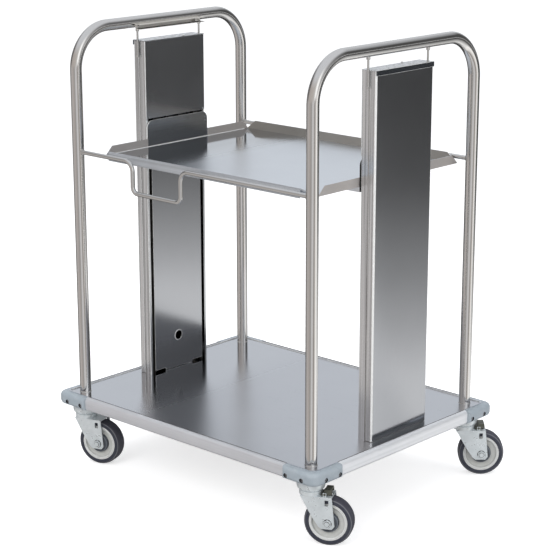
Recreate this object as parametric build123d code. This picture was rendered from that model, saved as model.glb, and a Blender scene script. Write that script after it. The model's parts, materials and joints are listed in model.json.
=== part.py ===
from build123d import *
import math
import os

# Rack dispenser cart: two bent-tube end frames on a wheeled deck, with two slim lift columns.
# A tray hangs between the columns on sprung carriages and sinks as it is loaded.
# Lengths are millimetres and angles degrees. X runs across the cart from column to column,
# Y from the front wire to the back wire, Z up from the floor.
# Sizes are worked out about the middle of the deck, and every piece is moved by
# frame_shift when it is written, so that the origin lies under the middle of the whole cart.
frame_shift = (-19.0, -13.5, 0.0)

# End frames
tube_radius = 12.7
tube_wall = 1.5
leg_x = 342.0
leg_y = 258.0
top_bar_z = 987.0
frame_bend_radius = 90.0
weld_collar_radius = 14.6
weld_collar_height = 3.2

# Deck pan with its turned-up hem
sheet = 1.5
deck_top = 166.0
deck_inner_x = 370.0
deck_inner_y = 282.0
hem_width = 4.5
hem_top = 168.0
hem_gap = 1.5
pan_skirt_bottom = 136.0
deck_corner_radius = 9.0

# Edge rails and corner bumpers
rail_depth = 10.0
rail_bottom = 137.0
rail_rounding = 8.5
bumper_depth = 16.5
bumper_bottom = 138.0
bumper_top = 167.0
bumper_leg = 90.0
bumper_corner_radius = 23.0
bumper_screw_offsets = (36.0, 79.0)
bumper_screw_z = 148.0
bumper_screw_head_radius = 4.4
bumper_screw_radius = 2.4
bumper_recess = 3.0
bumper_rounding = 10.0
bumper_end_radius = 7.0

# Underframe
underframe_wall = 2.0
underframe_floor = 3.0
underframe_bottom = 135.8
member_width = 54.0
centre_member_width = 50.0

# Casters
wheel_radius = 51.0
tread_half_width = 16.0
core_radius = 40.0
hub_cap_radius = 22.0
hub_half_width = 19.2
trail = 39.0
axle_radius = 5.0
kingpin_radius = 5.0
kingpin_head_radius = 8.0
kingpin_head_height = 4.0
raceway_radius = 29.5
crown_radius = 24.0
crown_top = 117.0
fork_top = 107.0
fork_sheet = 2.5
fork_half_width = 22.0
running_gap = 0.06
raceway_gap = 0.3
brake_hinge_h = 32.0
brake_hinge_z = 111.0
brake_pin_radius = 2.6
pedal_start_h = 24.8
pedal_end_h = 46.0
pedal_top = 120.5
pedal_half_width = 14.0

# Corners of the cart: sign of x, sign of y, and the way the wheel trails in the photograph
corners = {
    "front_left": (-1, -1, 19.0),
    "front_right": (1, -1, 28.5),
    "back_right": (1, 1, 42.0),
    "back_left": (-1, 1, 28.0),
}
braked_corners = ("front_right", "back_right")

# Lift columns, drawn for the right side of the cart
lift_y = 13.0
column_half_width = 92.0
column_inner_x = 315.0
column_seam_x = 332.4
column_outer_x = 351.0
cover_sheet = 1.2
cover_bend = 4.0
cover_bottom = 167.0
seam_gap = 2.0
column_top = 944.5
cap_sheet = 1.5
cap_lip_bottom = 935.0
lip_width = 6.0
back_flange = 13.0
slot_width = 9.0
inner_panel_top = 758.0
inner_panel_gap = 1.0
foot_notch = (33.0, 6.0)
access_bottom = 770.5
access_notch = 5.0
sight_hole_radius = 10.5
sight_hole_z = 244.0

# Carriages, rollers and springs
carriage_x = 311.0
carriage_plate = 2.5
carriage_half_width = 95.0
carriage_shift = 3.0
carriage_neck = 700.0
carriage_foot_half = 84.0
carriage_bottom = 660.0
carriage_top = 766.0
carriage_corner = 16.0
carriage_middle = lift_y + carriage_shift
carriage_reach = (carriage_middle - carriage_half_width, carriage_middle + carriage_half_width)
arm_sheet = 3.0
arm_inset = 9.0
roller_radius = 15.5
roller_width = 5.6
roller_x = 332.35
roller_z = {"lower": 680.0, "upper": 745.0}
pin_radius = 4.0
spring_radius = 10.0
spring_wall = 2.4
spring_pitch = 40.0
spring_x = 334.0
spring_bar = (331.0, 337.0)
spring_bottom = 670.0
spring_top = 930.0
spring_bar_height = 8.0

# Tie rods between the columns and the top bars
tie_x = 333.0
tie_offset = 96.0
tie_radius = 2.25
tie_lug_z = 911.0
tie_sleeve_radius = 4.0
tie_sleeve_bottom = 967.0
bracket_x = (315.5, 330.5)
bracket_z = (972.0, 983.0)
bracket_y = (-91.0, 111.0)
bracket_sheet = 1.2
bracket_screw_offset = 75.0

# Guide wires, with one dip each for the hands
wire_radius = 4.75
wire_z = 719.0
dip_x = (-169.0, -23.5)
dip_z = 651.0
dip_top_bend = 22.0
dip_bottom_bend = 14.0

# Tray
tray_half_x = 311.0
tray_top = 708.0
tray_front = -205.0
tray_back = 248.0
tray_side_height = 18.0
tray_back_height = 20.0
tray_low_edge = 1.6
tray_back_mitre = 26.0
tray_crest_y = -226.0
tray_crest_z = 722.0
tray_crest_half = 280.0
tray_face_bottom = 702.0
tray_rib_half_width = 20.0
tray_rib_depth = 12.0


def block(x, y, z):
    """A box between two values on each axis."""
    size = Box(x[1] - x[0], y[1] - y[0], z[1] - z[0])
    return Pos((x[0] + x[1]) / 2, (y[0] + y[1]) / 2, (z[0] + z[1]) / 2) * size


def rod(radius, start, end):
    """A round bar from one point to another."""
    middle = [(a + b) / 2 for a, b in zip(start, end)]
    direction = Vector(*end) - Vector(*start)
    return Plane(origin=middle, z_dir=direction) * Cylinder(radius, direction.length)


def upright(outline, z):
    """An outline in X and Y carried up from one height to another."""
    return Pos(0, 0, z[0]) * extrude(outline, amount=z[1] - z[0])


def polygon(points):
    """A closed face through points on the XY plane."""
    return make_face(Polyline(*points, close=True))


def round_corners(face, points, radius):
    """The face with its corners nearest to the points rounded."""
    for point in points:
        corner = face.vertices().sort_by_distance((*point, 0))[0]
        face = fillet(corner, radius)
    return face


def hexagon(across_flats, x, y, z):
    """A hexagonal bolt head or nut standing on a level plane."""
    outline = RegularPolygon(across_flats / math.sqrt(3), 6)
    return Pos(x, y, 0) * upright(outline, z)


def across_cart(part):
    """The same piece on the left of the cart."""
    return part.mirror(Plane.YZ)


def both_sides_of_lift(piece):
    """A piece at the front of a column, and its reflection at the back of it."""
    middle = Plane(origin=(0, lift_y, 0), z_dir=(0, 1, 0))
    return piece, piece.mirror(middle)


def at_corner(piece, corner, turned=True):
    """A caster piece, drawn about its pivot and trailing along +X, in its place on the cart."""
    side_x, side_y, heading = corners[corner]
    return Pos(side_x * leg_x, side_y * leg_y, 0) * Rot(0, 0, heading if turned else 0) * piece


def at_four_corners(piece):
    """A piece of the corner at +X and +Y, and its reflections in the other three corners."""
    left = across_cart(piece)
    return piece, left, piece.mirror(Plane.XZ), left.mirror(Plane.XZ)


def bumper_screw_bars(radius, near, far):
    """Round bars on a corner's screw lines, between two depths behind the bumper's outer faces."""
    outer_x = deck_inner_x + hem_width + bumper_depth
    outer_y = deck_inner_y + hem_width + bumper_depth
    on_side = [rod(radius, (outer_x - near, outer_y - offset, bumper_screw_z),
                   (outer_x - far, outer_y - offset, bumper_screw_z)) for offset in bumper_screw_offsets]
    on_end = [rod(radius, (outer_x - offset, outer_y - near, bumper_screw_z),
                  (outer_x - offset, outer_y - far, bumper_screw_z)) for offset in bumper_screw_offsets]
    return on_side + on_end


def legs(radius, z):
    """Four round bars on the axes of the legs."""
    return [rod(radius, (sx * leg_x, sy * leg_y, z[0]), (sx * leg_x, sy * leg_y, z[1]))
            for sx, sy, _ in corners.values()]


# Casters

def raceway():
    """The drum under the underframe that the fork turns against."""
    bottom = crown_top + raceway_gap
    rim = raceway_radius
    profile = polygon([(0, bottom), (rim - 5, bottom), (rim - 1.5, bottom + 3), (rim, bottom + 8),
                       (rim, underframe_bottom), (0, underframe_bottom)])
    drum = revolve(Plane.XZ * profile, Axis.Z)
    return drum - rod(kingpin_radius, (0, 0, bottom - 1), (0, 0, underframe_bottom + 1))


def kingpin():
    """The pivot bolt, with its head on the underframe's floor and its nut inside the fork."""
    floor = underframe_bottom + underframe_floor
    shank = rod(kingpin_radius, (0, 0, fork_top - fork_sheet), (0, 0, floor))
    head = rod(kingpin_head_radius, (0, 0, floor), (0, 0, floor + kingpin_head_height))
    nut = hexagon(14, 0, 0, (fork_top - fork_sheet - raceway_gap - 5, fork_top - fork_sheet - raceway_gap))
    stub = rod(kingpin_radius, (0, 0, fork_top - fork_sheet - 7), (0, 0, fork_top - fork_sheet))
    return shank + head + nut + stub


def fork(braked):
    """The pressed fork with its crown, its side plates and, where it is braked, the pedal's ears."""
    front_h, back_h = -18, 47.5
    foot_z = wheel_radius - 12.5
    side_outline = Plane.XZ * polygon([(front_h, fork_top), (back_h, fork_top), (back_h + 6, foot_z + 6.5),
                                       (48, foot_z), (26, foot_z), (19.7, foot_z + 5), (5, 65.5)])
    window = Plane.XZ * (Pos(37, fork_top - 12.5) * RectangleRounded(8, 12.5, 1.2))
    side = extrude(side_outline - window, amount=fork_sheet)
    near = Pos(0, fork_half_width, 0) * side
    far = Pos(0, fork_sheet - fork_half_width, 0) * side
    top = block((front_h, back_h), (-fork_half_width, fork_half_width), (fork_top - fork_sheet, fork_top))
    crown = rod(crown_radius, (0, 0, fork_top), (0, 0, crown_top - 2))
    crown += Pos(0, 0, crown_top - 1) * Cone(crown_radius, crown_radius - 2, 2)
    body = near + far + top + crown
    body -= rod(kingpin_radius + running_gap, (0, 0, fork_top - 5), (0, 0, crown_top + 1))
    body -= rod(axle_radius, (trail, -30, wheel_radius), (trail, 30, wheel_radius))
    if braked:
        ear = block((brake_hinge_h - 3.5, brake_hinge_h + 3.5), (15.3, 18), (fork_top, brake_hinge_z + 3.5))
        body += ear + ear.mirror(Plane.XZ)
        hole = brake_pin_radius + running_gap
        body -= rod(hole, (brake_hinge_h, -20, brake_hinge_z), (brake_hinge_h, 20, brake_hinge_z))
        body -= block((38.5, 46), (-9.5, 9.5), (fork_top - 4, fork_top + 1))
    return body


def axle():
    """The axle bolt with its hexagon head and nut."""
    head_length = 4.5
    flats = RegularPolygon(15 / math.sqrt(3), 6)
    near = Plane(origin=(trail, fork_half_width, wheel_radius), z_dir=(0, 1, 0))
    far = Plane(origin=(trail, -fork_half_width, wheel_radius), z_dir=(0, -1, 0))
    head = extrude(near * flats, amount=head_length)
    nut = extrude(far * flats, amount=head_length)
    reach = fork_half_width + head_length + 1.5
    shank = rod(axle_radius, (trail, -reach, wheel_radius), (trail, fork_half_width, wheel_radius))
    return shank + head + nut


def turned_wheel(points):
    """A ring about the axle from an outline of radius and distance across the wheel."""
    ring = revolve(Plane.XZ * polygon(points), Axis.Z)
    return Pos(trail, 0, wheel_radius) * Rot(90, 0, 0) * ring


def wheel_core():
    """The hub, its caps, the dished web and the rim that carries the tyre."""
    bore = axle_radius + running_gap
    half = [(bore, hub_half_width), (11, hub_half_width), (13, 17.5), (hub_cap_radius - 2, 16.5),
            (hub_cap_radius, 14.5), (hub_cap_radius + 0.5, 9), (33, 10), (36, 15), (core_radius, 15)]
    return turned_wheel(half + [(r, -w) for r, w in reversed(half)])


def tyre():
    """The solid tyre with rounded shoulders."""
    half = [(core_radius, tread_half_width - 1), (core_radius + 1, tread_half_width), (46, tread_half_width),
            (49, 14.4), (50.5, 11.5), (wheel_radius, 7)]
    return turned_wheel(half + [(r, -w) for r, w in reversed(half)])


def brake_pedal():
    """The folded pedal on its hinge pin, open behind, with the tongue that reaches down to the tyre."""
    low = fork_top + 0.8
    start, end, top = pedal_start_h, pedal_end_h, pedal_top
    outline = Plane.XZ * polygon([(start, low), (34, low), (end, low + 4), (end - 1.5, top), (31, top),
                                  (30.5, 116.5), (start, 111.5)])
    under = top - fork_sheet
    room = Plane.XZ * polygon([(start + 2, low - 1), (end + 1, low - 1), (end + 1, under), (32.5, under),
                               (32.5, 115.8), (start + 2, 110.8)])
    inside = pedal_half_width - fork_sheet
    pedal = Pos(0, pedal_half_width, 0) * extrude(outline, amount=2 * pedal_half_width)
    pedal -= Pos(0, inside, 0) * extrude(room, amount=2 * inside)
    pin = rod(brake_pin_radius, (brake_hinge_h, -18.6, brake_hinge_z), (brake_hinge_h, 18.6, brake_hinge_z))
    tongue = block((40, 42.5), (-8, 8), (103.6, top - 1))
    return pedal + pin + tongue


# Deck

def deck_pan():
    """The pan, folded up round its edge, over the top and down outside as a skirt."""
    def slab(half_x, half_y, radius, z):
        return upright(RectangleRounded(2 * half_x, 2 * half_y, radius), z)

    outer_x = deck_inner_x + hem_width
    outer_y = deck_inner_y + hem_width
    pan = slab(outer_x, outer_y, deck_corner_radius + hem_width, (pan_skirt_bottom, hem_top))
    pan -= slab(deck_inner_x, deck_inner_y, deck_corner_radius, (deck_top, hem_top + 1))
    pan -= slab(deck_inner_x + sheet, deck_inner_y + sheet, deck_corner_radius + sheet,
                (pan_skirt_bottom - 1, deck_top - sheet))
    skirt_inside = slab(outer_x - sheet, outer_y - sheet, deck_corner_radius + hem_width - sheet,
                        (pan_skirt_bottom - 1, hem_top - sheet))
    fold = slab(outer_x - sheet - hem_gap, outer_y - sheet - hem_gap, deck_corner_radius + sheet,
                (pan_skirt_bottom - 1, hem_top - sheet))
    pan -= skirt_inside - fold
    for leg in legs(tube_radius + 0.1, (deck_top - 10, deck_top + 10)):
        pan -= leg
    for bar in bumper_screw_bars(bumper_screw_radius, bumper_depth - 1, bumper_depth + sheet + 0.5):
        for hole in at_four_corners(bar):
            pan -= hole
    return pan


def underframe():
    """The welded ring of box section under the pan, bored at each corner for a leg and a kingpin."""
    top = deck_top - sheet
    bottom = underframe_bottom
    floor = bottom + underframe_floor

    def member(x, y):
        wall = underframe_wall
        inside_x = (x[0] + wall, x[1] - wall)
        inside_y = (y[0] + wall, y[1] - wall)
        return block(x, y, (bottom, top)), block(inside_x, inside_y, (floor, top - wall))

    half = member_width / 2
    reach_x = leg_x + half
    reach_y = leg_y + half
    members = [member((-reach_x, reach_x), (side * leg_y - half, side * leg_y + half)) for side in (-1, 1)]
    members += [member((side * leg_x - half, side * leg_x + half), (-reach_y, reach_y)) for side in (-1, 1)]
    half_centre = centre_member_width / 2
    centre, _ = member((-half_centre, half_centre), (half - leg_y, leg_y - half))
    _, centre_hollow = member((-half_centre, half_centre), (-leg_y, leg_y))
    ring = members[0][0]
    for outer, _ in members[1:]:
        ring += outer
    ring += centre
    for _, hollow in members:
        ring -= hollow
    ring -= centre_hollow
    clear_x = deck_inner_x + hem_width - sheet - 0.3
    clear_y = deck_inner_y + hem_width - sheet - 0.3
    ring &= upright(RectangleRounded(2 * clear_x, 2 * clear_y, deck_corner_radius + hem_width), (bottom, top))
    for bore in legs(kingpin_radius, (bottom - 1, floor + 1)):
        ring -= bore
    for leg in legs(tube_radius + 0.1, (floor, top + 1)):
        ring -= leg
    return ring


def rail_profile():
    """Section of the edge rail: flat at the back, rounded in front, in depth and height."""
    height = hem_top - rail_bottom
    face = Pos(rail_depth / 2, rail_bottom + height / 2) * Rectangle(rail_depth, height)
    face = round_corners(face, [(rail_depth, rail_bottom), (rail_depth, hem_top)], rail_rounding)
    hollow = Pos(rail_depth / 2 - 1.5, rail_bottom + height / 2) * Rectangle(rail_depth - 6, height - 12)
    return face - hollow


def rails():
    """The four edge rails by name."""
    outer_x = deck_inner_x + hem_width
    outer_y = deck_inner_y + hem_width
    half_x = outer_x + bumper_depth - bumper_leg
    half_y = outer_y + bumper_depth - bumper_leg
    side = Pos(outer_x, half_y, 0) * extrude(Plane.XZ * rail_profile(), amount=2 * half_y)
    along = Plane(origin=(half_x, -outer_y, 0), x_dir=(0, -1, 0), z_dir=(-1, 0, 0))
    front = extrude(along * rail_profile(), amount=2 * half_x)
    return {"rail_right": side, "rail_left": across_cart(side),
            "rail_front": front, "rail_back": front.mirror(Plane.XZ)}


def bumper():
    """The corner moulding at +X and +Y."""
    inner_x = deck_inner_x + hem_width
    inner_y = deck_inner_y + hem_width
    outer_x = inner_x + bumper_depth
    outer_y = inner_y + bumper_depth
    start_x = outer_x - bumper_leg
    start_y = outer_y - bumper_leg
    outline = polygon([(start_x, inner_y), (start_x, outer_y), (outer_x, outer_y), (outer_x, start_y),
                       (inner_x, start_y), (inner_x, inner_y)])
    outline = round_corners(outline, [(outer_x, outer_y)], bumper_corner_radius)
    outline = round_corners(outline, [(inner_x, inner_y)], deck_corner_radius + hem_width)
    body = upright(outline, (bumper_bottom, bumper_top))
    for level in (0, -1):
        outer_edges = [edge for edge in body.edges().group_by(Axis.Z)[level]
                       if min(outer_x - edge.center().X, outer_y - edge.center().Y) < bumper_end_radius]
        body = fillet(outer_edges, bumper_rounding)
    ends = round_corners(outline, [(start_x, outer_y), (outer_x, start_y)], bumper_end_radius)
    body &= upright(ends, (bumper_bottom, bumper_top))
    for hole in bumper_screw_bars(bumper_screw_radius, 0, bumper_depth + 1):
        body -= hole
    for recess in bumper_screw_bars(bumper_screw_head_radius + 0.6, -1, bumper_recess):
        body -= recess
    return body


def bumper_screws():
    """The screws of one corner, sunk in their recesses and reaching through the pan's skirt."""
    shanks = bumper_screw_bars(bumper_screw_radius, bumper_recess - 1, bumper_depth + sheet)
    heads = bumper_screw_bars(bumper_screw_head_radius, bumper_recess - 1.6, bumper_recess)
    return [shank + head for shank, head in zip(shanks, heads)]


# Frame above the deck

def end_frame():
    """The right-hand bent tube, hollow, with a weld collar where each leg meets the deck."""
    foot_z = underframe_bottom + underframe_floor
    points = [(leg_x, -leg_y, foot_z), (leg_x, -leg_y, top_bar_z),
              (leg_x, leg_y, top_bar_z), (leg_x, leg_y, foot_z)]
    path = FilletPolyline(*points, radius=frame_bend_radius)
    ring = Circle(tube_radius) - Circle(tube_radius - tube_wall)
    tube = sweep(Plane(origin=points[0], z_dir=(0, 0, 1)) * ring, path=path)
    for side in (-1, 1):
        collar = Cone(weld_collar_radius, tube_radius, weld_collar_height)
        collar -= Cylinder(tube_radius - 0.3, weld_collar_height)
        tube += Pos(leg_x, side * leg_y, deck_top + weld_collar_height / 2) * collar
    return tube


def guide_wire():
    """The front wire between the legs, dipped once so that a hand can reach the racks."""
    points = [(-leg_x, wire_z), (dip_x[0], wire_z), (dip_x[0], dip_z), (dip_x[1], dip_z), (dip_x[1], wire_z),
              (leg_x, wire_z)]
    places = [(x, -leg_y, z) for x, z in points]
    path = FilletPolyline(*places, radius=[dip_top_bend, dip_bottom_bend, dip_bottom_bend, dip_top_bend])
    wire = sweep(Plane(origin=places[0], z_dir=(1, 0, 0)) * Circle(wire_radius), path=path)
    for side in (-1, 1):
        wire -= rod(tube_radius + 0.02, (side * leg_x, -leg_y, dip_z), (side * leg_x, -leg_y, wire_z + 20))
    return wire


# Lift columns

def column_channel():
    """The front channel of the right column: lip, seam and back flange in one folded section."""
    y = lift_y - column_half_width
    x = column_inner_x
    seam = column_seam_x
    back = column_outer_x - cover_sheet
    step = cover_sheet
    inside = step + sheet
    outline = polygon([(x, y), (seam, y), (seam, y + step), (back, y + step), (back, y + back_flange),
                       (back - sheet, y + back_flange), (back - sheet, y + inside),
                       (seam - sheet, y + inside), (seam - sheet, y + sheet), (x + sheet, y + sheet),
                       (x + sheet, y + lip_width), (x, y + lip_width)])
    outline = round_corners(outline, [(x, y)], 1.4)
    outline = round_corners(outline, [(back, y + step)], cover_bend - cover_sheet + 0.2)
    channel = upright(outline, (deck_top, column_top))
    hole = (column_seam_x - 1, y, tie_lug_z)
    return channel - rod(1.5, (hole[0], y - 1, hole[2]), (hole[0], y + sheet + 1, hole[2]))


def column_cover():
    """The outer cover, rounded at its upright edges and wrapped half-way round the sides."""
    def wrap(inset, radius):
        x = (column_seam_x + seam_gap - inset, column_outer_x - inset)
        y = (lift_y - column_half_width + inset, lift_y + column_half_width - inset)
        face = Pos((x[0] + x[1]) / 2, lift_y) * Rectangle(x[1] - x[0], y[1] - y[0])
        return round_corners(face, [(x[1], y[0]), (x[1], y[1])], radius)

    section = wrap(0, cover_bend) - wrap(cover_sheet, cover_bend - cover_sheet)
    return upright(section, (cover_bottom, column_top))


def inner_panel():
    """The lower inner panel, a shallow channel notched at its foot, with the rimmed sight hole."""
    reach = column_half_width - lip_width - slot_width
    y = (lift_y - reach, lift_y + reach)
    x = column_inner_x
    panel = block((x, x + 15), y, (deck_top, inner_panel_top))
    panel -= block((x + sheet, x + 16), (y[0] + sheet, y[1] - sheet), (deck_top - 1, inner_panel_top + 1))
    face = (x - 1, x + sheet)
    panel -= block(face, (y[0] - 1, y[1] + 1), (deck_top - 1, deck_top + inner_panel_gap))
    notch_width, notch_top = foot_notch[0], deck_top + foot_notch[1]
    panel -= block(face, (y[0] - 1, y[0] + notch_width), (deck_top - 1, notch_top))
    panel -= block(face, (y[1] - notch_width, y[1] + 1), (deck_top - 1, notch_top))
    rim_x = x - 0.8
    hole_y = lift_y - 1
    panel += rod(sight_hole_radius + 2, (rim_x, hole_y, sight_hole_z), (x, hole_y, sight_hole_z))
    return panel - rod(sight_hole_radius, (rim_x - 1, hole_y, sight_hole_z), (x + 3, hole_y, sight_hole_z))


def access_panel():
    """The upper inner panel over the full width of the column, notched at its lower corners."""
    y = (lift_y - column_half_width, lift_y + column_half_width)
    x = (column_inner_x - sheet, column_inner_x)
    panel = block(x, y, (access_bottom, column_top))
    for edge in y:
        inside = 1 if edge < lift_y else -1
        near = edge + 3 * inside
        far = near + access_notch * inside
        panel -= block((x[0] - 1, x[1] + 1), (min(near, far), max(near, far)),
                       (access_bottom - 1, access_bottom + access_notch))
    return panel


def column_cap():
    """The cap with its outer lip and the round-headed bolt that carries the spring bar."""
    y = (lift_y - column_half_width - 0.5, lift_y + column_half_width + 0.5)
    outer = column_outer_x + cap_sheet
    cap = block((column_inner_x - sheet - 0.5, outer), y, (column_top, column_top + cap_sheet))
    cap += block((column_outer_x, outer), y, (cap_lip_bottom, column_top + cap_sheet))
    head = revolve(Plane.XZ * polygon([(0, 0), (2.4, 0), (2.4, 1.4), (1.6, 2.8), (0, 3.2)]), Axis.Z)
    return cap + Pos(column_inner_x + 1.5, lift_y + 31, column_top + cap_sheet) * head


def springs():
    """The three upright springs of one column, each closed up to a sleeve."""
    sleeve = Cylinder(spring_radius, spring_top - spring_bottom)
    sleeve -= Cylinder(spring_radius - spring_wall, spring_top - spring_bottom)
    middle_z = (spring_top + spring_bottom) / 2
    return [Pos(spring_x, lift_y + place * spring_pitch, middle_z) * sleeve for place in (-1, 0, 1)]


def spring_anchor():
    """The bar between the channels that the springs hang from."""
    step = column_half_width - cover_sheet - sheet
    return block(spring_bar, (lift_y - step, lift_y + step), (spring_top, spring_top + 6))


def carriage():
    """The plate beside the tray, its two arms through the slots, the roller pins and the spring bar."""
    x = (carriage_x, carriage_x + carriage_plate)
    front, back = carriage_reach
    foot = (lift_y - carriage_foot_half, lift_y + carriage_foot_half)
    outline = polygon([(front, carriage_neck), (front, carriage_top), (back, carriage_top),
                       (back, carriage_neck), (foot[1], carriage_neck), (foot[1], carriage_bottom),
                       (foot[0], carriage_bottom), (foot[0], carriage_neck)])
    outline = round_corners(outline, [(front, carriage_top), (back, carriage_top)], carriage_corner)
    body = Pos(x[0], 0, 0) * extrude(Plane.YZ * outline, amount=carriage_plate)
    arm_y = lift_y - column_half_width + arm_inset
    arm = block((x[1], 341), (arm_y, arm_y + arm_sheet), (spring_bottom - 8, roller_z["upper"] + 15))
    arm = fillet(arm.edges().filter_by(Axis.Y).group_by(Axis.X)[-1], 8)
    for z in roller_z.values():
        arm += rod(pin_radius, (roller_x, arm_y - roller_width - 0.3, z), (roller_x, arm_y, z))
    for piece in both_sides_of_lift(arm):
        body += piece
    inner_reach = lift_y - arm_y - arm_sheet
    body += block(spring_bar, (lift_y - inner_reach, lift_y + inner_reach),
                  (spring_bottom - spring_bar_height, spring_bottom))
    return body


def rollers(z):
    """The two rollers at one height of a carriage, one in each channel."""
    far = lift_y - column_half_width + arm_inset - 0.3
    near = far - roller_width + 0.3
    wheel = rod(roller_radius, (roller_x, near, z), (roller_x, far, z))
    wheel -= rod(pin_radius + running_gap, (roller_x, near - 1, z), (roller_x, far + 1, z))
    return both_sides_of_lift(wheel)


# Ties

def tie_rod():
    """The front tie of the right column: a lug on the channel, a thin rod and the sleeve under the bar."""
    y = lift_y - tie_offset
    side_y = lift_y - column_half_width
    tie = rod(tie_radius, (tie_x, y, tie_lug_z), (tie_x, y, tie_sleeve_bottom + 12))
    tie += rod(tie_sleeve_radius, (tie_x, y, tie_sleeve_bottom), (tie_x, y, tie_sleeve_bottom + 12))
    tie += rod(2.6, (tie_x, y - tie_radius, tie_lug_z), (tie_x, side_y, tie_lug_z))
    return tie - rod(tube_radius + 0.02, (leg_x, bracket_y[0] - 20, top_bar_z), (leg_x, side_y, top_bar_z))


def tie_bracket():
    """The folded channel beside the right top bar, open towards the tray, with a screw near its back end."""
    inside_z = (bracket_z[0] + bracket_sheet, bracket_z[1] - bracket_sheet)
    beyond = (bracket_y[0] - 1, bracket_y[1] + 1)
    bracket = block(bracket_x, bracket_y, bracket_z)
    bracket -= block((bracket_x[0] - 1, bracket_x[1] - bracket_sheet), beyond, inside_z)
    bracket -= rod(tube_radius + 0.02, (leg_x, beyond[0], top_bar_z), (leg_x, beyond[1], top_bar_z))
    for side in (-1, 1):
        y = lift_y + side * tie_offset
        bracket -= rod(tie_sleeve_radius + 0.1, (tie_x, y, bracket_z[0] - 1), (tie_x, y, top_bar_z))
    screw_y = lift_y + bracket_screw_offset
    screw_z = (bracket_z[0] + bracket_z[1]) / 2
    screw_x = (bracket_x[0] + 5, bracket_x[1] - bracket_sheet)
    return bracket + rod(3, (screw_x[0], screw_y, screw_z), (screw_x[1], screw_y, screw_z))


# Tray

def tray():
    """The tray: folded up at the sides and back, rolled over at the front, ribbed beneath."""
    x = tray_half_x
    under = tray_top - sheet
    body = block((-x, x), (tray_front, tray_back), (under, tray_top))
    body += tray_side_flange()
    body += across_cart(tray_side_flange())
    back_top = tray_top + tray_back_height
    back = Plane.XZ * polygon([(-x, under), (x, under), (x, tray_top), (x - tray_back_mitre, back_top),
                               (tray_back_mitre - x, back_top), (-x, tray_top)])
    body += Pos(0, tray_back, 0) * extrude(back, amount=sheet)
    body += tray_front_roll()
    for rib_y in (lift_y - 70, lift_y + 70):
        body += tray_rib(rib_y)
    return body


def tray_side_flange():
    """The right flange, mitred at both ends and cut down to a low edge in front of the carriage plate."""
    top = tray_top + tray_side_height
    mitre = tray_side_height
    under = tray_top - sheet
    outline = Plane.YZ * polygon([(tray_front, under), (tray_back, under), (tray_back, tray_top),
                                  (tray_back - mitre, top), (tray_front + mitre, top),
                                  (tray_front, tray_top)])
    flange = Pos(tray_half_x - sheet, 0, 0) * extrude(outline, amount=sheet)
    opening = block((tray_half_x - 3, tray_half_x + 1), carriage_reach, (tray_top + tray_low_edge, top + 1))
    return flange - opening


def tray_front_roll():
    """The front edge, which slopes up and out to a crest and then turns down."""
    under = tray_top - sheet
    crest = tray_crest_z
    face = tray_crest_y
    inner = face + sheet
    section = Plane.YZ * polygon([(tray_front, under), (tray_front, tray_top), (face + 2.4, crest),
                                  (face, crest), (face, tray_face_bottom), (inner, tray_face_bottom),
                                  (inner, crest - 2), (tray_front - 1.9, under)])
    roll = Pos(-tray_half_x, 0, 0) * extrude(section, amount=2 * tray_half_x)
    mitre = polygon([(tray_half_x, tray_front), (tray_crest_half, face + 2), (tray_crest_half, face - 5),
                     (tray_half_x + 5, face - 5), (tray_half_x + 5, tray_front)])
    cut = upright(mitre, (tray_face_bottom - 5, crest + 5))
    return roll - cut - across_cart(cut)


def tray_rib(y):
    """A folded rib under the tray from one carriage to the other."""
    z = (tray_top - sheet - tray_rib_depth, tray_top - sheet)
    reach = tray_half_x - sheet
    half = tray_rib_half_width
    rib = block((-reach, reach), (y - half, y + half), z)
    inside = (y - half + sheet, y + half - sheet)
    return rib - block((-reach - 1, reach + 1), inside, (z[0] + sheet, z[1] + 1))


# Everything by name

def write(name, pieces):
    """Writes one node: a single piece, or several that lie apart."""
    group = list(pieces) if isinstance(pieces, (list, tuple)) else [pieces]
    solids = [Pos(*frame_shift) * solid for piece in group for solid in piece.solids()]
    whole = solids[0] if len(solids) == 1 else Compound(solids)
    export_step(whole, f"parts/{name}.step")


def write_casters():
    """The four casters, and the raceways and kingpins that stay with the deck."""
    for name, piece in {"raceways": raceway(), "kingpins": kingpin()}.items():
        write(name, [at_corner(piece, corner, turned=False) for corner in corners])
    for corner in corners:
        braked = corner in braked_corners
        write(f"fork_{corner}", at_corner(fork(braked), corner))
        write(f"axle_{corner}", at_corner(axle(), corner))
        write(f"wheel_{corner}", at_corner(wheel_core(), corner))
        write(f"tyre_{corner}", at_corner(tyre(), corner))
        if braked:
            write(f"brake_pedal_{corner}", at_corner(brake_pedal(), corner))


def write_deck():
    """The deck pan, its underframe, rails and bumpers."""
    write("deck_pan", deck_pan())
    write("underframe", underframe())
    for name, rail in rails().items():
        write(name, rail)
    corner_names = ("back_right", "back_left", "front_right", "front_left")
    for corner, piece in zip(corner_names, at_four_corners(bumper())):
        write(f"bumper_{corner}", piece)
    write("bumper_screws", [placed for screw in bumper_screws() for placed in at_four_corners(screw)])


def write_frame():
    """The end frames and the two guide wires."""
    frame = end_frame()
    write("end_frame_right", frame)
    write("end_frame_left", across_cart(frame))
    wire = guide_wire()
    write("guide_wire_front", wire)
    write("guide_wire_back", Rot(0, 0, 180) * wire)


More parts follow.
